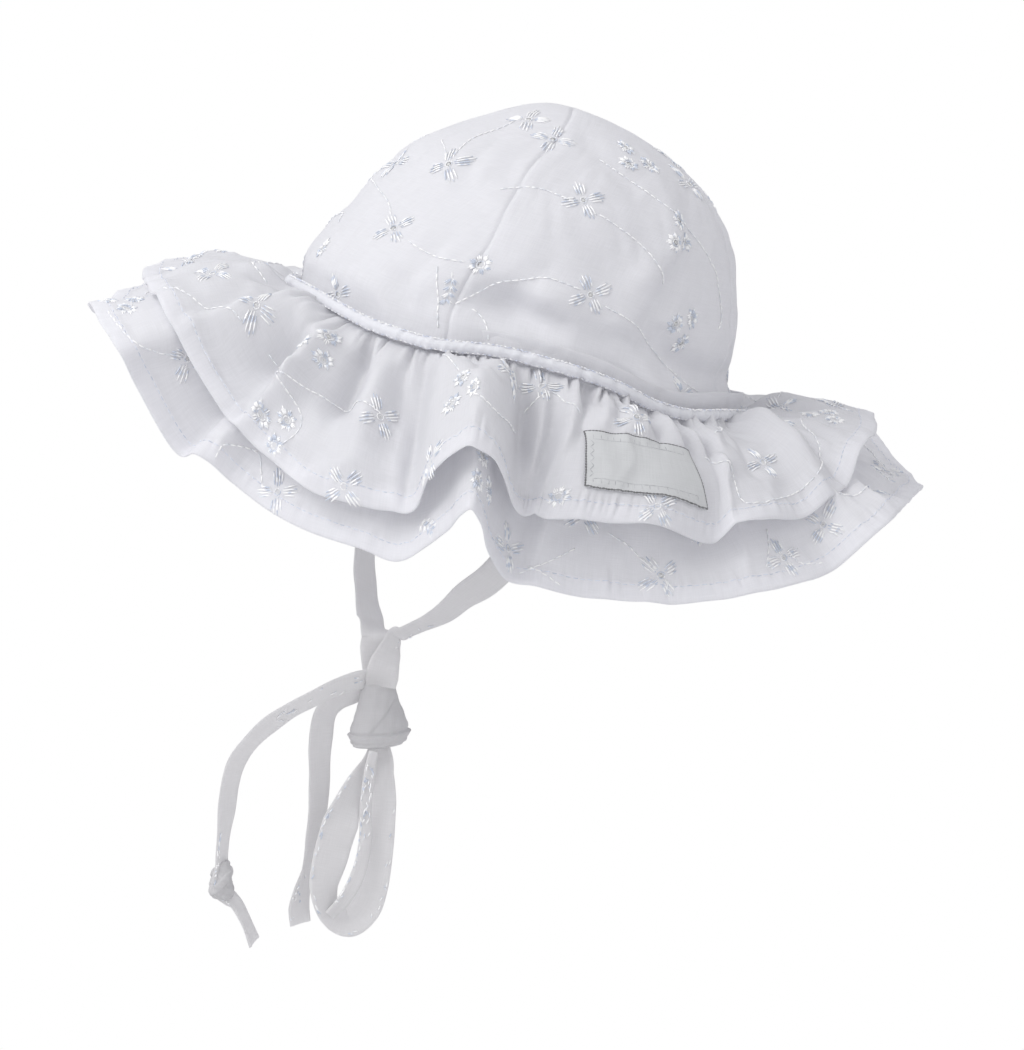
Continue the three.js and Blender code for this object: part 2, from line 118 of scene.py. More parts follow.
# Columns: angle at the seam, reach out of the hem, drop of the hem, swing of
# the hem round the head, height of the belly between seam and hem
RUFFLE_FOLDS = [
    (-158, 55, -7, 0, 5), (-140, 50, 10, 0, 7), (-122, 45, 27, 0, 5),
    (-108, 51, 16, 0, 9), (-94, 44, 31, 0, 5), (-80, 51, 16, 0, 9),
    (-62, 51, 1, 0, 6), (-44, 51, 1, 0, 4), (-28, 51, 6, 0, 7),
    (-14, 49, 9, 0, 5), (-2, 50, 11, -4, 7),
    (5, 50, 14.5, -1.5, 4), (11, 43.5, 23.5, -6, 7), (18.5, 30, 40, -5, 1),
    (23, 25.5, 44.5, -4, 9), (29, 24, 47.5, -2, 5), (34, 25, 51, 4, 1.5),
    (38, 24, 50.5, 9, 8), (42.5, 23, 49.7, 15, 1), (46, 26, 47.5, 17.5, 1),
    (50, 36, 36, 14, 9), (54, 45, 27, 13, 10), (60, 48, 25, 7, 11),
    (64, 46, 28, 5, 8), (68.5, 37, 39, 5, 0), (73, 33, 42, 1, 4),
    (77, 34, 41.3, -3.5, 1.5), (82, 36.5, 39.5, -8, 7), (90, 40, 35, -11, 9),
    (100, 43, 30, -13, 9), (108, 43, 29.5, -5, 9), (113, 46.5, 22.7, -12, 3),
    (118, 48, 20, -9.5, 7), (125, 49, 16, -5.5, 5),
    (130, 49, 6, 0, 8), (138, 46, -5, -5, 3), (150, 44, -11, 0, 4),
    (164, 45, -15, 0, 6), (177, 52, -17, 0, 4), (192, 54, -13, 0, 5),
]
BRIM_FOLDS = [
    (-152, 75, 6, 0, 4), (-138, 68, 26, 0, 3), (-122, 56, 47, 0, 3),
    (-108, 62, 43, 0, 6), (-94, 48, 59, 0, 3), (-80, 60, 45, 0, 6),
    (-64, 68, 26, 0, 4), (-48, 67, 12, 0, 3), (-34, 61, 14, 0, 5),
    (-16, 62, 23, 0, 4), (0, 68, 21.5, -2, 4), (6, 64, 29, 0, 4),
    (10, 54, 38, -10, 2), (14, 38, 53, -12, 2), (18, 35, 52, -10, 4),
    (24, 23, 57, -11, 2), (34, 18, 62, -2, 2), (41, 18, 62.5, 10, 3),
    (47, 22, 61.5, 17, 1), (51, 33, 50, 21, 6), (55, 40, 46, 17, 10),
    (61, 43, 46, 12, 10), (66, 36, 54, 7, 5), (71, 28, 61, 6, 1),
    (78, 32, 60, 4, 2), (86, 34, 58, 6, 4), (96, 42, 52, 6, 6),
    (105, 50, 45, 2, 2), (114, 57, 38, 0, 4), (122, 62, 29, 4, 4),
    (128, 67, 16, 0, 4), (140, 64, 7.5, 0, 1), (155, 64, 3, 0, 3),
    (172, 74, -1, 0, 2), (182, 74, -7, -2, 3), (192, 77, -14, -3, 3),
]

# Label on the ruffle: angles at the seam and shares of the way to the hem
LABEL_ANGLES = (83.6, 106.1)
LABEL_LEFT_LEAN = 2.7
LABEL_RIGHT_LEAN = 2.6
LABEL_SHARES = (0.47, 0.83)

# Straps. Columns: x, y, z, turn of the flat side about the strap, width
TIE_LEFT = [
    (64.5, 1, 0, 90, 10), (64.4, -1.5, -8, 95, 10), (62, -6.5, -24, 106, 10),
    (57, -14.5, -41, 113, 10), (50, -24.5, -56, 116, 10), (43, -30.5, -66, 112, 10),
    (33, -35, -73.5, 100, 10), (22, -39, -82, 84, 9.5), (12, -43, -88, 72, 8),
    (6, -45.5, -91, 80, 6), (2.6, -47.4, -92.2, 90, 6),
]
TIE_RIGHT = [
    (-64.8, 1, 0, 90, 10), (-64.8, -3, -8, 88, 10), (-61, -16, -26, 80, 10),
    (-54, -31.5, -48, 68, 10), (-40, -40.5, -70, 70, 10), (-26, -46, -82.5, 86, 10),
    (-13, -50, -89.5, 110, 9.5), (-2.2, -52.4, -92.8, 126, 9),
]
TAIL_LONG = [
    (2, -59.4, -106.2, 70, 7.5), (2, -68.7, -108.1, 62, 9), (1, -75.7, -111.1, 54, 10),
    (-1, -83.7, -115.3, 56, 10), (-3.5, -92.6, -122.2, 58, 10), (-6, -99.9, -131, 62, 10),
    (-8, -102.5, -140, 60, 10), (-8, -104, -152, 55, 9), (-8, -105.3, -164, 56, 7),
]
TAIL_KNOT = [
    (-8, -105.5, -167, 60, 6.5), (-8, -105.8, -170, 60, 8.5),
    (-8, -105.5, -175, 60, 9.5), (-8, -103.8, -177.8, 56, 7),
]
TAIL_END = [(-8, -101, -180.5, 48, 6), (-8, -97.5, -187.5, 46, 7), (-8, -94.8, -195.6, 46, 8)]
TAIL_SHORT = [
    (-2, -59.9, -112.4, 72, 7.5), (-4, -65.2, -114, 74, 9), (-4, -69.7, -118, 74, 10),
    (-4, -71.7, -127.9, 70, 10), (-4, -72.2, -140.9, 68, 10), (-4, -72.9, -152.8, 64, 9.5),
    (-4, -74.8, -163.5, 54, 8), (-4, -76.8, -171.2, 48, 8), (-4.2, -79, -178.5, 62, 9),
    (-4.5, -80, -184, 74, 9), (-4.5, -79.5, -190, 78, 8),
]
LOOP = [
    (3.5, -57.6, -134.5, 62, 7), (5.5, -64, -143, 80, 9.5), (7, -69, -153, 100, 12.5),
    (7, -72.5, -164, 100, 12), (7, -74.8, -175, 80, 11), (7, -72.5, -184, 60, 10.5),
    (7, -66.5, -187.5, 56, 11), (7, -61, -183.5, 60, 11.5), (7, -58, -175, 62, 11.5),
    (7, -55.5, -161, 60, 10.5), (6, -53.7, -148, 54, 9.5), (3.4, -52, -139, 40, 7.5),
    (2, -51, -134.4, 34, 7),
]

# Where each strap goes on into the knot, out of sight. Same columns
INTO_KNOT = {
    "tie_left": [
        (2.8, -48.5, -94.8, 100, 6.5), (3.9, -50.2, -97.8, 112, 8.5), (4.8, -52, -101.2, 114, 10.2),
        (5, -53, -105.4, 114, 11), (4.4, -53.2, -108.6, 114, 10),
    ],
    "tie_right": [
        (-2.6, -52.6, -97, 118, 9.5), (-1.6, -52.4, -103, 116, 9.5), (0, -52.6, -108, 112, 8),
    ],
    "tail_long": [(1.8, -54, -106.6, 70, 7)],
    "tail_short": [(0, -55.5, -111, 72, 7)],
    "loop_start": [(2.4, -55, -129.5, 58, 6)],
    "loop_end": [(1.2, -51.4, -129.5, 34, 6)],
}

# The knot, from under the ties down to its foot, where the loop comes out of it.
# Columns: z, middle y, half width front to back, half thickness
KNOT_X = 1
KNOT_SECTIONS = [
    (-104, -52, 6, 3), (-107.5, -52.6, 5.3, 3.1), (-111, -52.8, 5.8, 3.6),
    (-115.5, -52.7, 7.2, 4.6), (-121, -52.5, 9.2, 5.6), (-124.6, -52.5, 10.4, 6),
    (-126, -52.5, 10.1, 5.6), (-129.4, -52.9, 8.4, 5.1),
]

# The inner edge of the loop's folded strap, and the small knot near the end of the long tail
LOOP_EDGE = [
    (8, -57.5, -129.5, 108, 3), (8.7, -59, -135, 108, 3.6), (9, -60.7, -147, 106, 4),
    (9.3, -61, -159, 104, 4.6), (9.4, -63.6, -170, 98, 5), (9.2, -68.8, -179, 92, 5),
    (8.6, -74, -184, 88, 4),
]
TAIL_KNOT_X = -8
TAIL_KNOT_SECTIONS = [
    (-165.8, -104.9, 1.6, 1.2), (-167, -105, 2.4, 1.8), (-170, -105.6, 3.3, 2.6),
    (-173, -106, 3.9, 3.1), (-176, -105.8, 4, 3.2), (-178, -105.4, 3.8, 3),
    (-178.8, -105.2, 2.6, 2),
]

# Thin cloth as it really is: one layer, and the doubled layers of a hem
CLOTH_THICKNESS = 0.3
HEM_EXTRA = 0.3
HEM_WIDTH = 6.0
HEM_LINE = 5.2

# Tucks sewn into the seam. Columns: how many, half width, depth and reach (low, high)
TUCK_SETS = [
    (150, (0.45, 0.85), (0.9, 1.8), (4, 12)),
    (52, (1.0, 2.1), (1.5, 3.2), (8, 26)),
]
TUCK_SLANT = 0.12
TUCK_LIFT = 1.2
TUCK_FLOOR = 0.5
TUCK_FADE = 14

# Soft waves below the tucks: height, where they are highest and how far they reach
WAVE_HEIGHT = 0.42
WAVE_MIDDLE = 14
WAVE_REACH = 13

# Millimetres of cloth for one degree, at the seam and for each millimetre below it
SEAM_LENGTH_PER_DEGREE = 1.275
SPREAD_PER_DEGREE = 0.022

# Creases: the shape across, the length of both ends, and how far below the seam they begin
CREASE_POWER = 1.6
CREASE_ENDS = (3, 7)
CREASE_START = 5

# Creases that both layers share, since they are gathered together. Columns: from
# angle and millimetres below the seam, to angle and millimetres, half width, height
CREASES = [
    (24, 10, 25.5, 28, 3.6, 4.6), (25.5, 26, 21, 52, 3.6, 4.0),
    (19, 14, 14, 38, 6.5, -4.6), (31.5, 4, 32.5, 24, 4.2, -7.2),
    (36, 6, 38, 44, 6.5, 1.4), (46.8, 4, 44.5, 46, 2.2, -2.2),
    (49.5, 3, 48, 36, 3.6, 2.4), (56, 5, 57, 16, 3.0, -1.6),
    (67.5, 3, 69, 30, 4.5, -2.0), (73.5, 6, 74, 30, 3.0, 1.6),
    (80, 3, 80, 24, 3.0, 2.6), (80, 24, 77, 52, 3.4, 2.8),
    (83.5, 2, 83, 18, 2.2, -2.4), (87.5, 3, 87, 17, 3.4, 2.2),
    (91.5, 2, 90.5, 14, 1.8, -2.2), (95.5, 4, 96, 17, 3.6, 2.4),
    (99.5, 2, 99, 18, 1.8, -2.4), (104, 3, 103, 19, 2.6, 2.0),
    (108, 2, 105, 18, 2.0, -2.2), (117.5, 3, 113, 26, 3.2, 3.0),
    (113, 26, 111, 54, 3.4, 2.6), (121.5, 5, 119, 30, 4.0, -2.4),
    (129.5, 4, 127, 48, 3.4, 3.2), (134, 6, 131, 44, 3.6, -3.2),
    (139, 5, 142, 26, 4.0, 2.2), (148, 4, 147, 28, 4.0, -2.2),
    (5, 8, 6, 38, 5.0, -2.4), (12, 6, 9, 44, 4.5, 2.2),
    (-8, 6, -9, 36, 5.0, 2.4), (-20, 5, -19, 40, 4.5, -2.8),
    (-34, 5, -36, 34, 4.5, 2.6), (-47, 4, -45, 44, 4.0, -3.0),
    (-58, 5, -60, 30, 4.5, 2.4), (-72, 4, -70, 40, 4.5, -2.8),
    (-87, 5, -85, 36, 4.5, 2.6), (-101, 4, -103, 42, 4.0, -3.0),
    (-116, 5, -114, 32, 4.5, 2.4), (-130, 4, -133, 40, 4.0, -2.8),
    (-149, 5, -147, 34, 4.5, 2.4), (-166, 4, -168, 42, 4.5, -2.6),
    (168, 5, 170, 36, 4.5, 2.4), (158, 4, 160, 30, 4.0, -2.2),
]

# Ridges and hollows of one layer alone. Same columns
RUFFLE_CREASES = [
    (15, 4, 17, 12, 8.0, 5.0), (56.5, 28, 57, 44, 6.5, 1.8), (43, 30, 43, 50, 5.0, 1.6),
    (17, 18, 12, 40, 5.0, -1.2), (49.5, 8, 50.5, 24, 4.0, 2.6),
]
BRIM_CREASES = [
    (57, 36, 57.5, 62, 7.0, 5.5), (134, 34, 135, 60, 6.0, 2.6), (15, 40, 15, 62, 6.0, -3.0),
]

# How the cloth leaves the seam: up against the piping, and out from under it
SEAM_RISE = 1.5
SEAM_RISE_REACH = 6
SEAM_BULGE = 2.0
SEAM_BULGE_REACHES = (2.5, 30)

# Puckers along the hem's stitch line
PUCKER_HEIGHT = 0.26
PUCKER_REACH = 3.2

# Fine wrinkles. Columns: cell size, length over width, height in mm
LAYER_CRUMPLES = [(10.0, 1.9, 0.85), (5.0, 1.6, 0.35)]
CROWN_CRUMPLES = [(17.0, 1.1, 0.8), (7.0, 1.2, 0.3)]
CRUMPLE_ROWS = 97
CRUMPLE_SHARPNESS = 2.6
CRUMPLE_SOFTNESS = 0.01
CRUMPLE_START = 7
CROWN_SMOOTH_ABOVE = 78
CROWN_SMOOTH_OVER = 16

# Millimetres of cloth for one degree, where the weave is laid out: at the foot and in the ruffles
FOOT_PER_DEGREE = 1.3
RUFFLE_PER_DEGREE = 2.0

# Mesh steps
LAYER_COLUMNS = 1020
LAYER_ROWS = 35
GORE_COLUMNS = 88
GORE_ROWS = 88

# Directions of the worn hat: its own side, front and axis
tilt = math.radians(WORN_TILT)
SIDE = np.array((1.0, 0.0, 0.0))
FRONT = np.array((0.0, -math.cos(tilt), math.sin(tilt)))
AXIS = np.array((0.0, math.sin(tilt), math.cos(tilt)))


def place(side, front, up):
    """A point or direction from its parts along the worn hat's own directions."""
    return side[..., None] * SIDE + front[..., None] * FRONT + up[..., None] * AXIS


def smooth_step(value):
    """From 0 to 1, level at both ends."""
    t = np.clip(value, 0, 1)
    return t * t * (3 - 2 * t)


def bell(value):
    """1 in the middle, falling away on both sides."""
    return np.exp(-(value**2))


def unit(vectors):
    """Vectors of length 1 in the same directions."""
    return vectors / np.linalg.norm(vectors, axis=-1, keepdims=True)


def lengths_along(points):
    """Length from the first point of a line to each of them."""
    return np.concatenate([[0], np.cumsum(np.linalg.norm(np.diff(points, axis=0), axis=1))])


def full_turn(count):
    """Angles in radians, evenly round a circle."""
    return np.linspace(0, 2 * math.pi, count, endpoint=False)


def short_way(degrees):
    """The same turn, from -180 to 180 degrees."""
    return (degrees + 180) % 360 - 180


def read_round(table, angle):
    """Reads a table whose first column is an angle, smoothly and all the way round."""
    rows = sorted((row[0] % 360, *row[1:]) for row in table)
    turns = [(row[0] + 360 * turn, *row[1:]) for turn in (-1, 0, 1) for row in rows]
    knots = np.array(turns, float)
    x, y = knots[:, 0], knots[:, 1:]
    slopes = np.diff(y, axis=0) / np.diff(x)[:, None]
    left, right = np.diff(x)[:-1, None], np.diff(x)[1:, None]
    tangents = np.zeros_like(y)
    tangents[1:-1] = (slopes[:-1] * right + slopes[1:] * left) / (left + right)
    wanted = np.asarray(angle, float) % 360
    i = np.searchsorted(x, wanted, side="right") - 1
    span = (x[i + 1] - x[i])[..., None]
    t = ((wanted - x[i]) / (x[i + 1] - x[i]))[..., None]
    leave, arrive = tangents[i] * span, tangents[i + 1] * span
    a, b = y[i], y[i + 1]
    bend = 3 * (b - a) - 2 * leave - arrive + t * (2 * (a - b) + leave + arrive)
    return a + t * (leave + t * bend)


def read_rows(table, position):
    """Reads a table at a position counted in rows, smoothly."""
    rows = np.array(table, float)
    last = len(rows) - 1
    i = np.clip(np.floor(position).astype(int), 0, last - 1)
    t = (position - i)[..., None]
    before, a, b, after = (rows[np.clip(i + k, 0, last)] for k in (-1, 0, 1, 2))
    bend = 2 * before - 5 * a + 4 * b - after + t * (3 * (a - b) + after - before)
    return a + t / 2 * (b - before + t * bend)


def waves_round(angle, along, count, rounds, lengths, seed):
    """Uneven waves: whole numbers of them round the head, wandering along the cloth."""
    draw = np.random.default_rng(seed)
    total = np.zeros(np.broadcast(angle, along).shape)
    for _ in range(count):
        turns = draw.integers(*rounds)
        length = draw.uniform(*lengths)
        first, second = draw.uniform(0, 2 * math.pi, 2)
        total += np.sin(turns * np.radians(angle) + first + 1.3 * np.sin(along / length + second))
    return total / math.sqrt(count)


def crumple(angle, along, cell, stretch, seed):
    """Angular wrinkles with fine ridges, over cells of noise that repeat round the head."""
    draw = np.random.default_rng(seed)
    count = round(360 * SEAM_LENGTH_PER_DEGREE / cell)
    grid = draw.uniform(-1, 1, (count, CRUMPLE_ROWS))
    v = along / (cell * stretch)
    u = angle / 360 * count + 0.35 * np.sin(v * 1.7 + seed)
    i, j = np.floor(u).astype(int), np.floor(v).astype(int)
    a, b = smooth_step(u - i), smooth_step(v - j)
    corners = [grid[(i + m) % count, (j + n) % CRUMPLE_ROWS] for m in (0, 1) for n in (0, 1)]
    near, far = corners[0] * (1 - b) + corners[1] * b, corners[2] * (1 - b) + corners[3] * b
    value = near * (1 - a) + far * a
    return 1 - CRUMPLE_SHARPNESS * np.sqrt(value**2 + CRUMPLE_SOFTNESS)


def crumples(angle, along, table, seed):
    """The sum of the table's sizes of crumple."""
    total = 0
    for n, (cell, stretch, height) in enumerate(table):
        total = total + height * crumple(angle, along, cell, stretch, seed + n)
    return total


def seam_sag(angle):
    """How far the seam hangs below its plane."""
    return (read_round(SEAM_SAG, angle) + read_round(SEAM_DIP, angle))[..., 0]


def seam_at(angle, grow=0.0):
    """The seam round the foot: a point on it, the way out, the way round and its sag."""
    turn = np.radians(angle)
    side = FOOT_WIDTH / 2 * np.sin(turn)
    front = FOOT_LENGTH / 2 * np.cos(turn)
    out = unit(np.stack([side / FOOT_WIDTH**2, front / FOOT_LENGTH**2], -1))
    flat = np.zeros_like(side)
    point = place(side + out[..., 0] * grow, front + out[..., 1] * grow, flat)
    outward = place(out[..., 0], out[..., 1], flat)
    around = place(out[..., 1], -out[..., 0], flat)
    return point, outward, around, seam_sag(angle)


class Layer:
    """A gathered layer of cloth below the piping: its folds, and its level and step at the seam."""

    def __init__(self, folds, level, step, side, seed, own_creases):
        self.folds, self.level, self.step, self.side, self.seed = folds, level, step, side, seed
        self.crease_lines = CREASES + own_creases

    def length(self, angle):
        """Straight length from the seam to the hem."""
        values = read_round(self.folds, angle)
        return np.hypot(values[..., 0], values[..., 1])

    def tucks(self, angle, away):
        """Uneven tucks sewn into the seam, which open out into soft wrinkles further down."""
        draw = np.random.default_rng(self.seed)
        relief = np.zeros(np.broadcast(angle, away).shape)
        for count, widths, depths, reaches in TUCK_SETS:
            for _ in range(count):
                centre, slant = draw.uniform(0, 360), draw.normal(0, TUCK_SLANT)
                sizes = (draw.uniform(*limits) for limits in (widths, depths, reaches))
                width, depth, reach = sizes
                apart = short_way(angle - centre) * SEAM_LENGTH_PER_DEGREE + slant * away
                ratio = (apart / (width * (1 + away / TUCK_FADE))) ** 2
                relief -= depth * (1 - ratio) * np.exp(-ratio / 2 - (away / reach) ** 2)
        near = 1 - bell(away)
        lift = TUCK_LIFT * bell(away / TUCK_FADE)
        relief = self.side * near * np.maximum(self.side * relief + lift, -TUCK_FLOOR)
        long_waves = waves_round(angle, away, 7, (16, 46), (14, 30), self.seed + 2)
        long_waves = WAVE_HEIGHT * long_waves * bell((away - WAVE_MIDDLE) / WAVE_REACH)
        fine = crumples(angle, away, LAYER_CRUMPLES, self.seed + 10)
        return relief + fine * (1 - bell(away / CRUMPLE_START)) + long_waves

    def creases(self, angle, away):
        """Ridges and hollows along the lines of the table."""
        relief = np.zeros(np.broadcast(angle, away).shape)
        wide = SEAM_LENGTH_PER_DEGREE + SPREAD_PER_DEGREE * away
        for a0, y0, a1, y1, half_width, height in self.crease_lines:
            t = np.clip((away - y0) / (y1 - y0), 0, 1)
            across = short_way(angle - a0 - (a1 - a0) * t) * wide
            past = away - np.clip(away, y0, y1)
            ends = np.where(past < 0, past / CREASE_ENDS[0], past / CREASE_ENDS[1])
            relief += height * np.exp(-(np.abs(across / half_width) ** CREASE_POWER) - ends**2)
        return relief * (1 - bell(away / CREASE_START))

    def hem_puckers(self, angle, to_edge):
        """Small puckers on both sides of the hem's stitch line."""
        waves = waves_round(angle, to_edge, 6, (120, 300), (7, 14), self.seed + 3)
        return PUCKER_HEIGHT * waves * bell((to_edge - HEM_LINE) / PUCKER_REACH)

    def point(self, angle, share):
        """The layer's surface: angle at the seam, and share of the way to the hem."""
        seam, outward, around, sag = seam_at(angle, self.step)
        reach, drop, swing, belly = np.moveaxis(read_round(self.folds, angle), -1, 0)
        turn = np.radians(angle)
        length = np.hypot(reach, drop)
        drift = sum(strength * np.sin(waves * turn) for waves, strength in GATHER_DRIFTS)
        away = share * length
        fade = bell((away - GATHER_PEAK) / GATHER_REACH)
        pleat = GATHER_HEIGHT * np.sin(GATHERS * turn + drift) * fade
        arch = belly * 4 * share * (1 - share) * (BELLY_AT_SEAM - BELLY_LOSS * share) + pleat
        start = 1 - bell(away / FLAT_START)
        arch = (arch + self.hem_puckers(angle, length - away)) * start
        arch = arch + self.tucks(angle, away) + self.creases(angle, away)
        near, far = SEAM_BULGE_REACHES
        bulge = SEAM_BULGE * (1 - bell(away / near)) * bell(away / far)
        out = reach * share + drop / length * arch + np.maximum(drop, 0) / length * bulge
        fall = np.where(drop > 0, drop * share, drop * share * start)
        undip = read_round(SEAM_DIP, angle)[..., 0] * share
        rise = SEAM_RISE * bell(away / SEAM_RISE_REACH)
        up = self.level - sag + undip - fall + reach / length * arch + rise
        sideways = (swing * share)[..., None] * around
        return seam + out[..., None] * outward + sideways + up[..., None] * AXIS


RUFFLE = Layer(RUFFLE_FOLDS, RUFFLE_LEVEL, RUFFLE_STEP, 1, 11, RUFFLE_CREASES)
BRIM = Layer(BRIM_FOLDS, BRIM_LEVEL, BRIM_STEP, -1, 23, BRIM_CREASES)


def crown_level(height):
    """Row of the level table at a height."""
    heights = [row[0] for row in CROWN_LEVELS]
    return np.interp(height, heights, np.arange(len(heights)))


def crown_point(angle, level):
    """Surface of the crown: angle, and position in the level table."""
    height, front, back, side = np.moveaxis(read_rows(CROWN_LEVELS, level), -1, 0)
    turn = np.radians(angle)
    x = side * np.sin(turn)
    y = (front - back) / 2 + (front + back) / 2 * np.cos(turn)
    radius = np.hypot(x, y)
    press = np.zeros_like(x)
    for dent_angle, dent_height, half_width, half_height, depth in CROWN_DENTS:
        along = np.radians(short_way(angle - dent_angle)) * FOOT_WIDTH / 2
        across, above = along / half_width, (height - dent_height) / half_height
        press += depth * np.exp(-(across**2) - above**2)
    press = press + crown_relief(angle, height)
    x = x - x / radius * press
    y = y - y / radius * press
    sag = seam_sag(angle) * np.exp(-np.maximum(height, 0) / SAG_FADE_HEIGHT)
    return place(x, y, height - sag)


# Creases in the crown's cloth, pressed in along a line.
# Columns: from angle, from height, to angle, to height, half width, depth
CROWN_CREASES = [
    (112, 52, 99, 21, 3.6, 3.0), (105, 50, 91, 28, 5.0, -1.8), (99, 21, 126, 9, 5.0, 4.0),
    (96, 12, 112, 4, 4.0, -2.2), (90, 15, 101, 14, 3.4, 1.8), (76, 11, 55, 14, 4.6, 5.4),
    (80, 19, 56, 22, 4.5, -2.0), (92, 30, 74, 40, 5.0, 1.5), (44, 3, 30, 16, 4.0, 1.6),
    (34, 4, 24, 12, 4.0, -0.8), (60, 72, 96, 56, 4.0, 1.4), (52, 60, 30, 40, 6.0, 0.8),
    (10, 8, 6, 30, 6.0, 0.9), (128, 46, 140, 20, 5.0, 1.2), (-70, 30, -40, 8, 6.0, 0.9),
    (-130, 40, -110, 12, 6.0, 0.9), (170, 38, 185, 8, 6.0, 0.8),
]
CROWN_CREASE_TAPER = 0.15

# Soft waves that fade towards the top, and smaller ones in a band below it
CROWN_WAVE_DEPTH = 0.28
CROWN_WAVE_END = 90
TOP_WAVE_DEPTH = 0.22
TOP_WAVE_LEVEL = 68
TOP_WAVE_REACH = 8


def crown_relief(angle, height):
    """How far creases, soft waves and fine wrinkles press the crown in."""
    press = np.zeros(np.broadcast(angle, height).shape)
    scale = math.radians(1) * FOOT_WIDTH / 2
    for a0, h0, a1, h1, half_width, depth in CROWN_CREASES:
        x = short_way(angle - a0) * scale
        y = height - h0
        dx, dy = (a1 - a0) * scale, h1 - h0
        length = math.hypot(dx, dy)
        t = np.clip((x * dx + y * dy) / length**2, 0, 1)
        apart = np.hypot(x - t * dx, y - t * dy)
        inside = CROWN_CREASE_TAPER + (1 - 2 * CROWN_CREASE_TAPER) * t
        press += depth * bell(apart / half_width) * np.sin(math.pi * inside)
    wide = waves_round(angle, height, 6, (3, 9), (12, 30), 5)
    press += CROWN_WAVE_DEPTH * wide * smooth_step(1 - height / CROWN_WAVE_END)
    narrow = waves_round(angle, height, 5, (7, 19), (14, 30), 6)
    press += TOP_WAVE_DEPTH * narrow * bell((height - TOP_WAVE_LEVEL) / TOP_WAVE_REACH)
    smooth_top = smooth_step((CROWN_SMOOTH_ABOVE - height) / CROWN_SMOOTH_OVER)
    return press + crumples(angle, height, CROWN_CRUMPLES, 40) * smooth_top


def normals_of(grid, closed):
    """Normals of a grid of points, columns first."""
    if closed:
        along = np.roll(grid, -1, 0) - np.roll(grid, 1, 0)
    else:
        along = np.gradient(grid, axis=0)
    down = np.gradient(grid, axis=1)
    normal = np.cross(down, along)
    return normal / np.maximum(np.linalg.norm(normal, axis=-1, keepdims=True), 1e-9)


def new_piece(name, points, faces, material, uv=None, material_index=None):
    """A mesh object from points in millimetres and an array of quads or triangles."""
    mesh = bpy.data.meshes.new(name)
    faces = np.asarray(faces, np.int32)
    corners = faces.shape[1]
    mesh.vertices.add(len(points))
    mesh.vertices.foreach_set("co", (np.asarray(points) * MM).astype(np.float32).ravel())
    mesh.loops.add(faces.size)
    mesh.loops.foreach_set("vertex_index", faces.ravel())
    mesh.polygons.add(len(faces))
    mesh.polygons.foreach_set("loop_start", np.arange(0, faces.size, corners, dtype=np.int32))
    mesh.polygons.foreach_set("use_smooth", np.ones(len(faces), bool))
    if material_index is not None:
        mesh.polygons.foreach_set("material_index", np.asarray(material_index, np.int32))
    if uv is not None:
        layer = mesh.uv_layers.new(name="cloth")
        layer.uv.foreach_set("vector", np.asarray(uv, np.float32)[faces.ravel()].ravel())
    mesh.update(calc_edges=True)
    mesh.validate()
    piece = bpy.data.objects.new(name, mesh)
    bpy.context.scene.collection.objects.link(piece)
    for one in material if isinstance(material, (list, tuple)) else [material]:
        mesh.materials.append(one)
    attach(piece, "root")
    return piece


def tube_faces(rings, sides, closed):
    """Quads between rings of points, and back to the first ring where it is closed."""
    i = np.arange(rings if closed else rings - 1)[:, None]
    j = np.arange(sides)[None, :]
    k = (j + 1) % sides
    n = (i + 1) % rings
    return np.stack([i * sides + j, i * sides + k, n * sides + k, n * sides + j], -1).reshape(-1, 4)


def cloth_shell(name, grid, outer, inner, closed, material, uv, hem_rows=0):
    """A thin closed body round a grid of points. Rows of the hem take the second material."""
    normal = normals_of(grid, closed)
    over = grid + normal * outer[..., None]
    under = grid - normal * inner[..., None]
    ends = []
    for j, k in ((-1, -2), (0, 1)):
        away = unit(grid[:, j] - grid[:, k])
        ends.append(grid[:, j] + away * ((outer + inner)[:, j] / 2)[:, None])
    rings = np.concatenate([over, ends[0][:, None], under[:, ::-1], ends[1][:, None]], 1)
    ring_uv = np.concatenate([uv, uv[:, -1:], uv[:, ::-1], uv[:, :1]], 1)
    columns, sides = rings.shape[:2]
    faces = tube_faces(columns, sides, closed)
    if not closed:
        rows = grid.shape[1]
        j = np.arange(rows - 1)
        k = sides - 2 - j
        caps = []
        for first, flip in ((0, False), ((columns - 1) * sides, True)):
            quad = np.stack([j, k, k - 1, j + 1], -1) + first
            caps.append(quad[:, ::-1] if flip else quad)
        faces = np.concatenate([faces, *caps])
    index = None
    if hem_rows:
        side = np.arange(sides)
        in_hem = (side >= grid.shape[1] - hem_rows) & (side < grid.shape[1] + hem_rows)
        index = np.tile(in_hem, columns)
    return new_piece(name, rings.reshape(-1, 3), faces, material, ring_uv.reshape(-1, 2), index)


# Weave: threads for each millimetre across and along them, and the tint's ends over the colour
WEAVE = (3.2, 0.16)
WEAVE_DARK = 0.955
WEAVE_LIGHT = 1.03
THREAD_IOR = 1.9


def node_material(name):
    """A material with an empty node tree."""
    material = bpy.data.materials.new(name)
    material.use_nodes = True
    tree = material.node_tree
    tree.nodes.clear()
    return material, tree


def add_node(tree, kind, values=(), sources=(), **settings):
    """A shader node, with plain values and incoming links by socket."""
    node = tree.nodes.new("ShaderNode" + kind)
    for setting, value in settings.items():
        setattr(node, setting, value)
    for socket, value in dict(values).items():
        node.inputs[socket].default_value = value
    for socket, output in dict(sources).items():
        tree.links.new(output, node.inputs[socket])
    return node


def add_noise(tree, scale, detail, vector):
    noise = add_node(tree, "TexNoise", {"Scale": scale, "Detail": detail}, {"Vector": vector})
    return noise.outputs["Fac"]


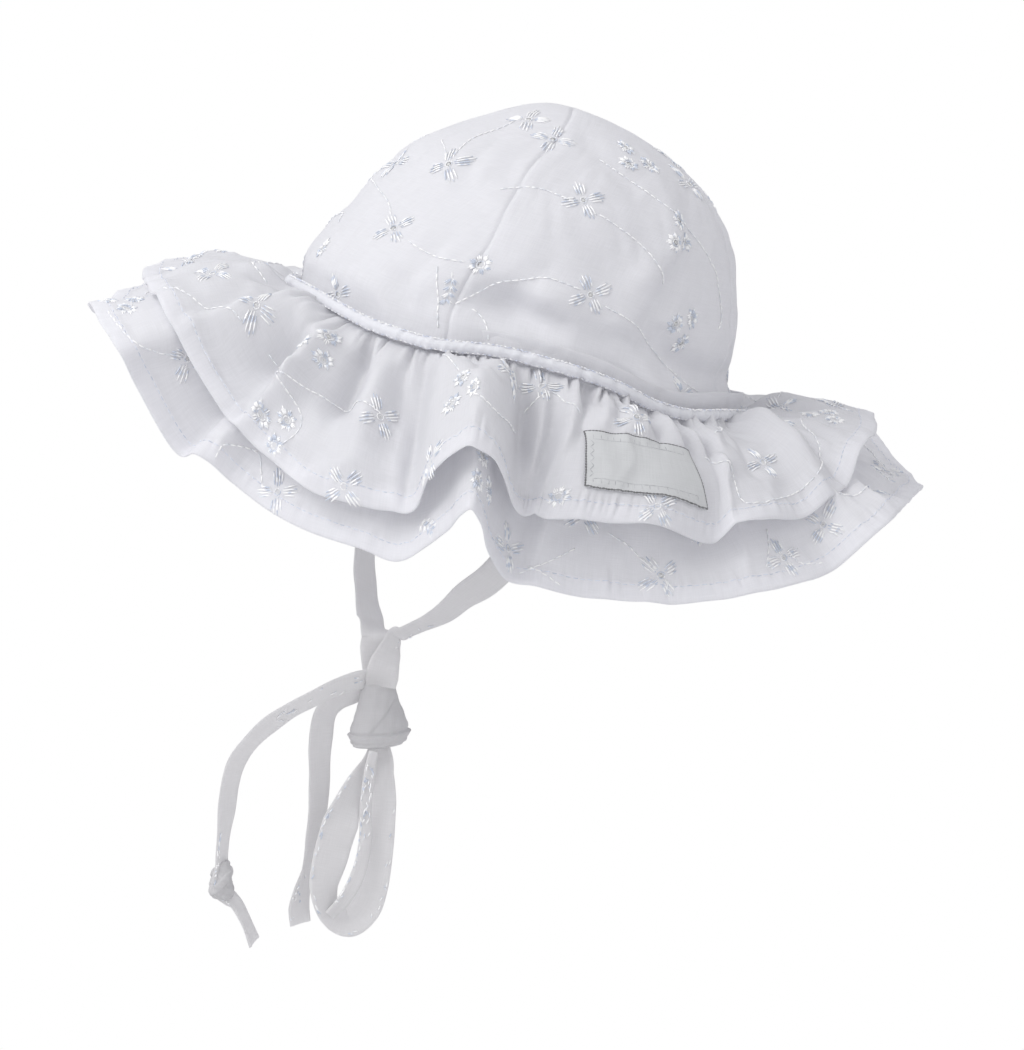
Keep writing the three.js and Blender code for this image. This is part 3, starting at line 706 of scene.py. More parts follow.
def add_tint(tree, limits, value, dark, light):
    """A colour between two, as the value goes from one limit to the other."""
    span = {"From Min": limits[0], "From Max": limits[1]}
    part = add_node(tree, "MapRange", span, {"Value": value})
    ends = {"A": (*dark, 1), "B": (*light, 1)}
    mix = add_node(tree, "Mix", ends, {"Factor": part.outputs["Result"]}, data_type="RGBA")
    return mix.outputs["Result"]


def add_bump(tree, strength, distance, height):
    values = {"Strength": strength, "Distance": distance}
    return add_node(tree, "Bump", values, {"Height": height}).outputs["Normal"]


def cloth_material(name, color, through, weave_scale=1.0, roughness=0.85, bump=0.12):
    """Fine plain weave, with its threads in relief and a little colour, that lets light through."""
    material, tree = node_material(name)
    place_uv = add_node(tree, "UVMap", uv_map="cloth")
    heights = []
    for scale in (WEAVE, WEAVE[::-1]):
        stretch = {"Scale": (scale[0] * weave_scale, scale[1] * weave_scale, weave_scale)}
        mapping = add_node(tree, "Mapping", stretch, {"Vector": place_uv.outputs["UV"]})
        heights.append(add_noise(tree, 1.0, 2.0, mapping.outputs["Vector"]))
    both = add_node(tree, "Math", (), enumerate(heights), operation="ADD").outputs[0]
    dark, light = [c * WEAVE_DARK for c in color], [min(1, c * WEAVE_LIGHT) for c in color]
    tint = add_tint(tree, (0.6, 1.4), both, dark, light)
    normal = add_bump(tree, bump, 0.0003, both)
    sheen = {"Sheen Weight": 0.15, "Sheen Roughness": 0.5}
    values = {"Roughness": roughness, "Specular IOR Level": 0.25, **sheen}
    face = add_node(tree, "BsdfPrincipled", values, {"Base Color": tint, "Normal": normal})
    glow = add_node(tree, "BsdfTranslucent", (), {"Color": tint, "Normal": normal})
    sides = {1: face.outputs["BSDF"], 2: glow.outputs["BSDF"]}
    blend = add_node(tree, "MixShader", {"Fac": through}, sides)
    add_node(tree, "OutputMaterial", (), {"Surface": blend.outputs["Shader"]})
    return material


def thread_material(name, dark, light, roughness=0.32):
    """Twisted shiny thread with a fine grain. Its colour goes from the dark to the light one in
    patches of about 2 mm: painted glints and painted shade of stitches that catch the light
    unevenly.
    """
    material, tree = node_material(name)
    where = add_node(tree, "TexCoord").outputs["Object"]
    # Painted glints and painted shade: noise swaps the stitches between the light and the dark
    # colour
    tint = add_tint(tree, (0.36, 0.54), add_noise(tree, 520, 0.0, where), dark, light)
    normal = add_bump(tree, 0.25, 0.0001, add_noise(tree, 2600, 1.0, where))
    shine = {"IOR": THREAD_IOR, "Specular IOR Level": 0.8, "Sheen Weight": 0.2}
    values = {"Roughness": roughness, **shine}
    face = add_node(tree, "BsdfPrincipled", values, {"Base Color": tint, "Normal": normal})
    add_node(tree, "OutputMaterial", (), {"Surface": face.outputs["BSDF"]})
    return material


COTTON = cloth_material("cotton", (0.905, 0.905, 0.925), 0.42)
HEM_COTTON = cloth_material("hem_cotton", (0.912, 0.912, 0.937), 0.37)
PIPING_COTTON = cloth_material(
    "piping_cotton", (0.94, 0.945, 0.985), 0.3, weave_scale=1.3, bump=0.4,
)
TIE_COTTON = cloth_material("tie_cotton", (0.88, 0.875, 0.88), 0.45, bump=0.05)
# The knots' cloth is the straps' cotton made darker: painted shade of a knot that faces down and
# away from the key lamp
SHADED_KNOT_COTTON = cloth_material("knot_cotton_painted_shade", (0.735, 0.73, 0.74), 0.3)
LABEL_WEAVE = cloth_material(
    "label_weave", (0.68, 0.69, 0.7), 0.1, weave_scale=0.7, roughness=0.55, bump=0.3,
)
# In each thread material the light colour is a painted glint and the dark colour painted shade of
# the same thread
THREAD = thread_material("thread", (0.6, 0.655, 0.76), (1.0, 1.0, 1.0))
VINE_THREAD = thread_material("vine_thread", (0.8, 0.82, 0.86), (1.0, 1.0, 1.0), 0.4)
PIPING_THREAD = thread_material("piping_thread", (0.66, 0.7, 0.82), (1.0, 1.0, 1.0), 0.4)
HEM_THREAD = thread_material("hem_thread", (0.6, 0.64, 0.74), (0.8, 0.83, 0.92), 0.5)
# The eyelets are grey: painted shade seen through their open holes
EYELET_HOLE_SHADE = thread_material("eyelet", (0.6, 0.6, 0.6), (0.72, 0.72, 0.71), 0.9)
DARK_THREAD = thread_material("dark_thread", (0.03, 0.03, 0.035), (0.1, 0.1, 0.11), 0.5)
GREY_THREAD = thread_material("grey_thread", (0.3, 0.31, 0.33), (0.5, 0.51, 0.53), 0.5)


def make_camera():
    """The photograph's camera. Returns its right, up and back directions."""
    azimuth, elevation = math.radians(VIEW_AZIMUTH), math.radians(VIEW_ELEVATION)
    back = np.array([
        math.sin(azimuth) * math.cos(elevation),
        -math.cos(azimuth) * math.cos(elevation),
        math.sin(elevation),
    ])
    right = np.array([math.cos(azimuth), math.sin(azimuth), 0.0])
    up = np.cross(back, right)
    scale = VIEW_DISTANCE / FOCAL_PIXELS
    across = (FRAME_PIXELS[0] / 2 - ORIGIN_PIXEL[0]) * scale
    above = (ORIGIN_PIXEL[1] - FRAME_PIXELS[1] / 2) * scale
    data = bpy.data.cameras.new("camera")
    data.sensor_width = SENSOR_WIDTH
    data.lens = FOCAL_PIXELS * SENSOR_WIDTH / max(FRAME_PIXELS)
    data.clip_start, data.clip_end = 0.05, 200
    camera = bpy.data.objects.new("camera", data)
    bpy.context.scene.collection.objects.link(camera)
    turn = Matrix([right, up, back]).transposed().to_4x4()
    turn.translation = tuple(VIEW_DISTANCE * back + across * right + above * up)
    camera.matrix_world = turn
    bpy.context.scene.camera = camera
    return right, up, back


VIEW_RIGHT, VIEW_UP, VIEW_BACK = make_camera()


# Floor and lights, in metres. Columns: name, size, watts, way there by the camera's right,
# up and back directions, distance
FLOOR_LEVEL = -0.34
FLOOR_HALF = 60.0
SKY = (0.98, 0.98, 1.0)
SKY_STRENGTH = 0.74
LIGHTS = [("key", 0.8, 8.5, (-0.95, 0.9, 0.8), 1.3), ("fill", 1.2, 4.9, (0.5, -0.55, 1.0), 1.6)]


def area_light(name, size, watts, toward, distance):
    """A soft square light, seen from the object in the direction given."""
    data = bpy.data.lights.new(name, "AREA")
    data.size = size
    data.energy = watts
    lamp = bpy.data.objects.new(name, data)
    direction = Vector(toward).normalized()
    lamp.location = direction * distance
    lamp.rotation_mode = "QUATERNION"
    lamp.rotation_quaternion = direction.to_track_quat("Z", "Y")
    bpy.context.scene.collection.objects.link(lamp)


def make_stage():
    """White sky, two lamps and a floor."""
    world = bpy.data.worlds.new("studio")
    world.use_nodes = True
    background = world.node_tree.nodes["Background"]
    background.inputs["Color"].default_value = (*SKY, 1)
    background.inputs["Strength"].default_value = SKY_STRENGTH
    bpy.context.scene.world = world
    bpy.context.scene.view_settings.view_transform = "Standard"
    for name, size, watts, (right, up, back), distance in LIGHTS:
        toward = right * VIEW_RIGHT + up * VIEW_UP + back * VIEW_BACK
        area_light(name, size, watts, tuple(toward), distance)
    mesh = bpy.data.meshes.new("floor")
    square = ((-1, -1), (1, -1), (1, 1), (-1, 1))
    corners = [(x * FLOOR_HALF, y * FLOOR_HALF, FLOOR_LEVEL) for x, y in square]
    mesh.from_pydata(corners, [], [(0, 1, 2, 3)])
    floor = bpy.data.objects.new("floor", mesh)
    bpy.context.scene.collection.objects.link(floor)
    material, tree = node_material("floor")
    plain = add_node(tree, "BsdfPrincipled", {"Base Color": (0.8, 0.8, 0.81, 1), "Roughness": 0.9})
    lit = add_node(tree, "Emission", {"Color": (1, 1, 1, 1), "Strength": 1.0})
    path = add_node(tree, "LightPath")
    blend = add_node(tree, "MixShader", (), {
        "Fac": path.outputs["Is Camera Ray"], 1: plain.outputs["BSDF"], 2: lit.outputs["Emission"],
    })
    add_node(tree, "OutputMaterial", (), {"Surface": blend.outputs["Shader"]})
    mesh.materials.append(material)


make_stage()


# Crown: how far the gores turn in at their seams, the puckers beside them and the folded allowance
GORE_INSET = 0.04
GORE_CROWDING = 0.45
SEAM_PULL = 0.6
SEAM_HALF_WIDTH = 0.8
SEAM_PUCKER = 0.10
SEAM_PUCKER_REACH = 3
ALLOWANCE_WIDTH = 6.5
ALLOWANCE_STEP = 0.16
ALLOWANCE_EDGE = 0.8
SEAM_FADE_RADIUS = 12


def gore_grid(number):
    """One gore's surface, with its columns crowded at the seams, and its place in the cloth."""
    wave = np.cos(math.pi * np.linspace(0, 1, GORE_COLUMNS + 1))
    across = 0.5 - 0.5 * wave * (1 - GORE_CROWDING + GORE_CROWDING * np.abs(wave))
    level = np.linspace(len(CROWN_LEVELS) - 1, 0, GORE_ROWS + 1)
    start = FIRST_SEAM + 360 / GORES * number
    share, level = np.meshgrid(across, level, indexing="ij")
    height, front, back, side = np.moveaxis(read_rows(CROWN_LEVELS, level), -1, 0)
    radius = np.maximum((front + back) / 4 + side / 2, 0.5)
    inset = np.degrees(GORE_INSET / radius)
    angle = start + inset + share * (360 / GORES - 2 * inset)
    grid = crown_point(angle, level)
    normal = normals_of(grid, False)
    quarter = radius * math.pi / 2
    from_left, from_right = share * quarter, (1 - share) * quarter
    nearest = np.minimum(from_left, from_right)
    pull = SEAM_PULL * bell(nearest / SEAM_HALF_WIDTH)
    pucker = SEAM_PUCKER * waves_round(height * 9, nearest, 4, (8, 22), (20, 30), 40 + number)
    pull = pull + pucker * np.exp(-nearest / SEAM_PUCKER_REACH)
    allowance = ALLOWANCE_STEP * smooth_step((ALLOWANCE_WIDTH - from_left) / ALLOWANCE_EDGE)
    lift = (allowance - pull) * smooth_step(radius / SEAM_FADE_RADIUS)
    uv = np.stack([share * quarter, height + 0 * share], -1)
    return grid + normal * lift[..., None], uv


def make_crown():
    names = ["crown_panel_left", "crown_panel_back", "crown_panel_right", "crown_panel_front"]
    for number, name in enumerate(names):
        grid, uv = gore_grid(number)
        half = np.full(grid.shape[:2], CLOTH_THICKNESS / 2)
        piece = cloth_shell("cloth_" + name, grid, half, half, False, COTTON, uv)
        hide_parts(name)


make_crown()


# Piping: a cord in its casing, with the casing's crease, small puckers and uneven thickness
PIPING_COLUMNS = 900
PIPING_SIDES = 20
PIPING_SLIMMING = 0.15
PIPING_RIPPLE = 0.13
PIPING_LUMPS = 0.18
CASING_CREASE = 0.35
CASING_CREASE_TURN = 3.9
CASING_CREASE_WIDTH = 0.28


def piping_centre(angle):
    """The middle of the cord, and the way out from it."""
    grow = CROWN_WALL / 2 + GAP + SLACK + PIPING_DIAMETER / 2
    point, outward, _, sag = seam_at(angle, grow)
    return point + (PIPING_LEVEL - sag)[..., None] * AXIS, outward


def make_piping():
    angle = np.linspace(0, 360, PIPING_COLUMNS, endpoint=False)
    centre, outward = piping_centre(angle)
    turn = full_turn(PIPING_SIDES)
    angles, turns = np.meshgrid(angle, turn, indexing="ij")
    ripple = PIPING_RIPPLE * waves_round(angles, turns, 6, (70, 190), (0.8, 1.4), 71)
    lumps = PIPING_LUMPS * waves_round(angles, 0 * turns, 5, (14, 90), (5, 6), 72)
    radius = PIPING_DIAMETER / 2 - PIPING_SLIMMING + ripple + lumps
    radius = radius - CASING_CREASE * bell((turns - CASING_CREASE_TURN) / CASING_CREASE_WIDTH)
    rings = (
        centre[:, None]
        + (radius * np.cos(turns))[..., None] * outward[:, None]
        + (radius * np.sin(turns))[..., None] * AXIS
    )
    uv = np.stack([angles * FOOT_PER_DEGREE, turns * PIPING_DIAMETER / 2], -1).reshape(-1, 2)
    faces = tube_faces(PIPING_COLUMNS, PIPING_SIDES, True)
    piece = new_piece("piping_cord", rings.reshape(-1, 3), faces, PIPING_COTTON, uv)
    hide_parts("piping")


make_piping()


# The narrow binding inside, over the seam of crown and brim
BINDING_LEVELS = (-3.0, 7.2)
BINDING_LIFT = 0.75
BINDING_WANDER = 0.16
BINDING_HALF = 0.2
BINDING_COLUMNS = 480
BINDING_ROWS = 12


def make_binding():
    angle = np.linspace(0, 360, BINDING_COLUMNS, endpoint=False)
    level = np.linspace(*BINDING_LEVELS, BINDING_ROWS)
    angles, levels = np.meshgrid(angle, level, indexing="ij")
    wander = BINDING_WANDER * waves_round(angles, levels, 5, (20, 90), (4, 9), 83)
    point, outward, _, sag = seam_at(angles, -CROWN_WALL / 2 - BINDING_LIFT)
    grid = point + wander[..., None] * outward + (levels - sag)[..., None] * AXIS
    half = np.full(angles.shape, BINDING_HALF)
    uv = np.stack([angles * FOOT_PER_DEGREE, levels], -1)
    piece = cloth_shell("seam_binding", grid, half, half, True, COTTON, uv)


make_binding()


# The two gathered layers: rows crowded towards the seam, rows of the hem as shares of its width,
# how the hem's fold shows outside and inside, and the groove of its stitch line
ROW_CROWDING = 1.15
HEM_SHARES = [0.012, 0.06, 0.13, 0.2, 0.36, 0.56, 0.78, 1.0]
HEM_OUTSIDE = 0.6
HEM_INSIDE = 0.4
HEM_STEP = 0.45
HEM_STEP_START = 0.1
HEM_GROOVE = 0.16
HEM_GROOVE_WIDTH = 0.5


def layer_grid(layer):
    """A layer's points, their distances to the edge and their places in the cloth."""
    angle = np.linspace(0, 360, LAYER_COLUMNS, endpoint=False)
    length = layer.length(angle)
    to_line = 1 - HEM_WIDTH / length
    body = np.linspace(0, 1, LAYER_ROWS) ** ROW_CROWDING
    hem = np.array(HEM_SHARES)
    share = np.concatenate([
        body[None, :] * to_line[:, None],
        to_line[:, None] + (1 - to_line)[:, None] * hem[None, :],
    ], 1)
    angles = np.repeat(angle[:, None], share.shape[1], 1)
    grid = layer.point(angles, share)
    away = share * length[:, None]
    uv = np.stack([angles * RUFFLE_PER_DEGREE, away], -1)
    return grid, length[:, None] - away, uv


def make_layer(name, node, layer):
    grid, to_edge, uv = layer_grid(layer)
    folded = smooth_step((HEM_WIDTH + HEM_STEP_START - to_edge) / HEM_STEP)
    groove = HEM_GROOVE * bell((to_edge - HEM_LINE) / HEM_GROOVE_WIDTH)
    outer = CLOTH_THICKNESS / 2 + HEM_EXTRA * HEM_OUTSIDE * folded - groove
    inner = CLOTH_THICKNESS / 2 + HEM_EXTRA * HEM_INSIDE * folded
    piece = cloth_shell(name, grid, outer, inner, True, [COTTON, HEM_COTTON], uv, len(HEM_SHARES))
    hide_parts(node)


make_layer("ruffle_cloth", "upper_ruffle", RUFFLE)
make_layer("brim_cloth", "lower_brim", BRIM)


# Threads laid on a surface. They taper like a half wave without its last shares
STITCH_STEPS = 5
STITCH_SIDES = 6
STITCH_END = 0.08
STITCH_FLATNESS = 0.8
MOTIF_STEPS = 12


# Small moves that measure a surface's slopes: degrees, and share of the way or millimetres
LAYER_MOVES = (0.15, 0.004)
CROWN_MOVES = (0.15, 0.2)
PIPING_MOVES = (0.2, 0.05)
LABEL_MOVES = (0.6, 0.012)
STRAP_MOVES = (0.3, 0.3)


class Ground:
    """A surface that threads lie on. Its steps are small moves for measuring slopes."""

    def __init__(self, point, steps, lift):
        self.point, self.steps, self.lift = point, steps, lift

    def lay(self, u, v):
        """Points, normals and directions along the surface."""
        here = self.point(u, v)
        along = self.point(u + self.steps[0], v) - here
        down = self.point(u, v + self.steps[1]) - here
        return here, unit(np.cross(down, along)), unit(along)

    def scales(self, u, v):
        """Millimetres for one unit of each parameter, over the size of a motif."""
        rates = []
        for k, step in enumerate(self.steps):
            move = np.array([0.0, 0.0])
            move[k] = step * MOTIF_STEPS
            apart = self.point(u + move[0], v + move[1]) - self.point(u - move[0], v - move[1])
            rates.append(np.linalg.norm(apart, axis=-1) / (2 * MOTIF_STEPS * step))
        return rates


def stitch_mesh(ground, stitches):
    """Small tapered threads. Columns: u and v of both ends, radius, rise in the middle."""
    rows = np.array(stitches, float)
    t = np.linspace(0, 1, STITCH_STEPS)
    u = rows[:, 0:1] * (1 - t) + rows[:, 2:3] * t
    v = rows[:, 1:2] * (1 - t) + rows[:, 3:4] * t
    here, normal, _ = ground.lay(u, v)
    centre = here + normal * (ground.lift + rows[:, 5:6] * np.sin(math.pi * t))[..., None]
    side = np.cross(unit(np.gradient(centre, axis=1)), normal)
    taper = np.sqrt(np.sin(math.pi * (STITCH_END + (1 - 2 * STITCH_END) * t)))
    radius = (rows[:, 4:5] * taper)[..., None, None]
    corner = full_turn(STITCH_SIDES)[:, None]
    rings = centre[:, :, None] + radius * (
        np.cos(corner) * side[:, :, None] + STITCH_FLATNESS * np.sin(corner) * normal[:, :, None]
    )
    start_cap = np.array([(3, 2, 1, 0), (5, 4, 3, 0)])
    end_cap = np.array([(0, 1, 2, 3), (0, 3, 4, 5)]) + (STITCH_STEPS - 1) * STITCH_SIDES
    one = np.concatenate([tube_faces(STITCH_STEPS, STITCH_SIDES, False), start_cap, end_cap])
    faces = one[None] + (np.arange(len(rows)) * STITCH_STEPS * STITCH_SIDES)[:, None, None]
    return rings.reshape(-1, 3), faces.reshape(-1, 4)


EYELET_SIDES = 12
EYELET_RISE = 0.12
EYELET_BACK = 0.1


def eyelet_mesh(ground, eyelets):
    """Small lens-shaped grey patches in the eyelets, painted shade of their open holes. Columns: u,
    v, radius.
    """
    rows = np.array(eyelets, float)
    here, normal, along = ground.lay(rows[:, 0], rows[:, 1])
    across = np.cross(normal, along)
    corner = full_turn(EYELET_SIDES)[:, None]
    base = here + normal * (ground.lift - EYELET_RISE)
    ring = np.cos(corner) * along[:, None] + np.sin(corner) * across[:, None]
    rim = base[:, None] + rows[:, 2:3, None] * ring
    over, under = base + normal * EYELET_RISE, base - normal * EYELET_BACK
    points = np.concatenate([rim, over[:, None], under[:, None]], 1)
    j = np.arange(0, EYELET_SIDES, 2)
    k, m = (j + 1) % EYELET_SIDES, (j + 2) % EYELET_SIDES
    top = np.stack([j, k, m, np.full(len(j), EYELET_SIDES)], -1)
    bottom = np.stack([m, k, j, np.full(len(j), EYELET_SIDES + 1)], -1)
    one = np.concatenate([top, bottom])
    faces = one[None] + (np.arange(len(rows)) * (EYELET_SIDES + 2))[:, None, None]
    return points.reshape(-1, 3), faces.reshape(-1, 4)


# Motifs, in millimetres round their middle. Stitch columns: x, y, x, y, radius, rise.
# Threads of one arm of a star: place across, start and end. Of a daisy's petal: place across, end
STAR_ARM = [(-1.5, 1.9, 5.4), (-0.5, 1.4, 6.4), (0.5, 1.6, 6.1), (1.5, 2.0, 5.2)]
DAISY_PETAL = [(-0.28, 2.3), (0, 2.75), (0.28, 2.3)]
ARM_SPREAD = (0.7, 0.95)
PETAL_START = 1.15
PETAL_SPREAD = 1.5
RING_RADIUS = 0.95
EYELET_RADIUS = 0.85
CLUSTER_REACH = 3.9

# A sprig's stem: stitches, length and place of each, bend. Leaves: start, reach along and across
STEM_STITCHES = 5
STEM_START = -5
STEM_STEP = 2
STEM_LENGTH = 1.8
STEM_BEND = 0.05

# Radius and rise of the threads
RING_THREAD = (0.17, 0.08)
STAR_THREAD = (0.27, 0.25)
PETAL_THREAD = (0.25, 0.2)
STEM_THREAD = (0.16, 0.08)
LEAF_THREADS = [(0, 1.3, 1.9, 0.24, 0.2), (0.3, 1.8, 1.5, 0.22, 0.2)]


def ring_stitches(x, y, radius, count):
    """Short stitches round an eyelet."""
    turn = np.linspace(0, 2 * math.pi, count + 1)
    ends = np.stack([x + radius * np.cos(turn), y + radius * np.sin(turn)], -1)
    return [(*ends[n], *ends[n + 1], *RING_THREAD) for n in range(count)]


def star(turn):
    """Four arms of straight stitches round an eyelet."""
    stitches = []
    for arm in range(4):
        way = math.radians(turn + 45 + 90 * arm)
        c, s = math.cos(way), math.sin(way)
        for across, start, reach in STAR_ARM:
            near, far = (across * spread for spread in ARM_SPREAD)
            first = (start * c - near * s, start * s + near * c)
            last = (reach * c - far * s, reach * s + far * c)
            stitches.append((*first, *last, *STAR_THREAD))
    return stitches + ring_stitches(0, 0, RING_RADIUS, 8), [(0, 0, EYELET_RADIUS)]


def daisy(turn, x=0.0, y=0.0):
    """Eight short petals round an eyelet."""
    stitches = []
    for petal in range(8):
        way = math.radians(turn + 45 * petal)
        c, s = math.cos(way), math.sin(way)
        for across, reach in DAISY_PETAL:
            far = across * PETAL_SPREAD
            first = (x + PETAL_START * c - across * s, y + PETAL_START * s + across * c)
            last = (x + reach * c - far * s, y + reach * s + far * c)
            stitches.append((*first, *last, *PETAL_THREAD))
    return stitches + ring_stitches(x, y, RING_RADIUS, 7), [(x, y, EYELET_RADIUS)]


def cluster(turn):
    """Three daisies close together."""
    stitches, eyelets = [], []
    for flower in range(3):
        way = math.radians(turn + 120 * flower)
        x, y = CLUSTER_REACH * math.cos(way), CLUSTER_REACH * math.sin(way)
        more, holes = daisy(turn + 15 * flower, x, y)
        stitches += more
        eyelets += holes
    return stitches, eyelets


def sprig(turn):
    """A bent stem with pairs of leaves."""
    way = math.radians(turn)
    c, s = math.cos(way), math.sin(way)
    stitches = []
    for n in range(STEM_STITCHES):
        x0 = STEM_START + STEM_STEP * n
        x1 = x0 + STEM_LENGTH
        y0, y1 = STEM_BEND * x0 * x0, STEM_BEND * x1 * x1
        stitches.append((x0, y0, x1, y1, *STEM_THREAD))
        if n < STEM_STITCHES - 1:
            for side in (-1, 1):
                for begin, along, across, *thread in LEAF_THREADS:
                    stitches.append((x1 + begin, y1, x1 + along, y1 + across * side, *thread))
    turned = [
        (c * x0 - s * y0, s * x0 + c * y0, c * x1 - s * y1, s * x1 + c * y1, radius, rise)
        for x0, y0, x1, y1, radius, rise in stitches
    ]
    return turned, []


MOTIFS = {"star": star, "daisy": daisy, "cluster": cluster, "sprig": sprig}
MOTIF_SIZES = {"star": 1.2, "daisy": 1.4, "cluster": 1.3, "sprig": 1.15}
MOTIF_THREAD = 1.12
VINE_STITCH = 2.5
VINE_GAP = 0.25
VINE_RADIUS = 0.27
VINE_RISE = 0.2


def vine_stitches(ground, route):
    """A line of running stitches along a smooth route over a surface."""
    smooth = read_rows(route, np.linspace(0, len(route) - 1, 16 * len(route)))
    points = ground.point(smooth[:, 0], smooth[:, 1])
    along = lengths_along(points)
    starts = np.arange(0, along[-1] - VINE_STITCH / 2, VINE_STITCH)
    ends = np.minimum(starts + VINE_STITCH - VINE_GAP, along[-1])
    ends_u, ends_v = (np.interp([starts, ends], along, smooth[:, k]) for k in (0, 1))
    ends = zip(ends_u[0], ends_v[0], ends_u[1], ends_v[1])
    return [(*four, VINE_RADIUS, VINE_RISE) for four in ends]


def make_embroidery(name, ground, motifs, vines):
    """Two pieces: the motifs with their eyelets, and the vines."""
    stitches, eyelets = [], []
    for kind, u, v, turn in motifs:
        rates = ground.scales(np.array(float(u)), np.array(float(v)))
        rate_u, rate_v = (float(rate) / MOTIF_SIZES[kind] for rate in rates)
        threads, holes = MOTIFS[kind](turn)
        for x0, y0, x1, y1, radius, rise in threads:
            ends = (u + x0 / rate_u, v + y0 / rate_v, u + x1 / rate_u, v + y1 / rate_v)
            stitches.append((*ends, radius * MOTIF_THREAD, rise))
        eyelets += [(u + x / rate_u, v + y / rate_v, radius) for x, y, radius in holes]
    points, faces = stitch_mesh(ground, stitches)
    more_points, more_faces = eyelet_mesh(ground, eyelets)
    index = np.repeat([0, 1], [len(faces), len(more_faces)])
    faces = np.concatenate([faces, more_faces + len(points)])
    points = np.concatenate([points, more_points])
    piece = new_piece(name, points, faces, [THREAD, EYELET_HOLE_SHADE], None, index)
    lines = [row for route in vines for row in vine_stitches(ground, route)]
    points, faces = stitch_mesh(ground, lines)
    piece = new_piece(name + "_vines", points, faces, VINE_THREAD)


# On the unseen side: the kinds by turns, and a vine's points between two motifs.
# Columns: share of the step, share of the bend
SCATTER_KINDS = ["star", "cluster", "star", "daisy", "sprig"]
SCATTER_VINE = [(0.22, 0), (0.4, 1), (0.6, 1.5), (0.78, -0.5)]
SCATTER_ALONG = 0.12
SCATTER_DOWN = 0.1
SCATTER_BEND = 0.12


def scatter(u_range, u_step, levels, seed):
    """The same motifs, spread over the side that the photograph doesn't show."""
    draw = np.random.default_rng(seed)
    tall = levels[-1] - levels[0]
    motifs, vines, n = [], [], 0
    for row, level in enumerate(levels):
        u = u_range[0] + u_step * 0.5 * (row % 2)
        while u < u_range[1]:
            at_u = u + draw.uniform(-SCATTER_ALONG, SCATTER_ALONG) * u_step
            at_v = level + draw.uniform(-SCATTER_DOWN, SCATTER_DOWN) * tall
            motifs.append((SCATTER_KINDS[n % 5], at_u, at_v, draw.uniform(0, 90)))
            bend = draw.uniform(-SCATTER_BEND, SCATTER_BEND) * tall
            vines.append([
                (at_u + share * u_step, at_v + rise * bend) for share, rise in SCATTER_VINE
            ])
            u += u_step
            n += 1
    return motifs, vines


def crown_surface(angle, down):
    """The crown by angle and level below the seam line."""
    return crown_point(angle, crown_level(-down))


# Crown. Columns: motif, angle, level below the seam line (so negative), turn
CROWN_MOTIFS = [
    ("star", 24, -50.5, 8), ("star", 21, -26.5, -10), ("star", 71, -52, 12), ("star", 81, -24.5, 5),
    ("star", 27, -72, 20), ("star", 48.5, -68, 40), ("star", 146, -74, 10), ("star", 125, -68, 30),
    ("cluster", 107, -51, 20), ("cluster", 113.5, -23.5, 70), ("daisy", 51, -24, 10),
    ("sprig", 47.5, -15, 80), ("star", 14, -3.4, 15), ("star", 118.5, -4, 30),
    ("cluster", 91, -70, 10), ("star", -6, -46, 25), ("daisy", -2, -14, 0),
]
CROWN_VINES = [
    [(5, -57.5), (16, -54.5), (22, -51)],
    [(-10, -39), (7, -35), (16, -30)],
    [(29, -24.5), (38.5, -22.5), (47, -23.5)],
    [(50, -11.5), (53.5, -16.5), (57.5, -20.5), (63, -23), (69, -25.5), (78, -25)],
    [(86, -22.5), (98, -19.5), (113, -12), (127, -5)],
    [(45, -47.5), (52, -50.5), (58, -51.5), (69, -50.5)],
    [(77, -49), (84, -47), (92, -44), (98, -39.5), (102, -34.5)],
    [(72, -66), (93, -61), (113, -54)],
    [(41.5, -20), (46, -11), (47.5, -3.5)],
    [(54, -11), (58.5, -8), (60, -3)],
    [(113, -54), (124, -46), (131, -36), (128, -26)],
    [(22, -70), (20, -62), (23, -54)],
    [(-24, -20), (-14, -26), (-6, -22)],
]


def layer_ground(layer, lift):
    return Ground(layer.point, LAYER_MOVES, CLOTH_THICKNESS / 2 + lift)


# Ruffle and brim. Columns: motif, angle, share of the way to the hem, turn
RUFFLE_MOTIFS = [
    ("star", 11.5, 0.47, 10), ("cluster", 25, 0.27, 30), ("star", 40, 0.5, 12),
    ("cluster", 54, 0.62, 20), ("cluster", 26, 0.84, 60), ("star", 37.5, 0.93, 0),
    ("star", 50, 0.93, 20), ("star", 73, 0.12, 35), ("star", 93, 0.33, 25),
    ("star", 99.5, 0.9, 5), ("cluster", 152, 0.62, 15), ("star", 64, 0.3, 10),
    ("star", 122, 0.55, 40), ("daisy", 82, 0.88, 10), ("star", 136, 0.35, 20),
    ("star", -3, 0.6, 5),
]
RUFFLE_VINES = [
    [(-1, 0.96), (5, 0.77), (12, 0.6)],
    [(15, 0.51), (19, 0.49), (24, 0.6), (28.5, 0.67), (29.5, 0.78), (28, 0.93)],
    [(24, 0.6), (30, 0.5), (34.5, 0.44), (40, 0.48)],
    [(50, 0.12), (51, 0.27), (53, 0.45)],
    [(56, 0.7), (60.5, 0.74), (64, 0.7), (67.5, 0.52)],
    [(70, 0.3), (75.5, 0.14), (79, 0.24), (82.5, 0.33)],
    [(119, 0.12), (118, 0.22), (115, 0.25)],
    [(108, 0.45), (113.8, 0.62), (114.5, 0.83), (117.5, 0.88), (123, 0.84), (127, 0.84)],
    [(127, 0.84), (134, 0.7), (141, 0.5), (150, 0.45)],
]
BRIM_MOTIFS = [
    ("star", 10, 0.72, 10), ("sprig", 49, 0.9, 40), ("star", 96.5, 0.88, 10),
    ("star", 124, 0.8, 20), ("star", 117, 0.86, 35), ("star", 71, 0.86, 25),
    ("cluster", 60, 0.8, 10), ("star", 84, 0.62, 10), ("star", 140, 0.82, 0),
    ("cluster", -2, 0.86, 0), ("star", 30, 0.9, 15), ("daisy", 106, 0.66, 10),
]
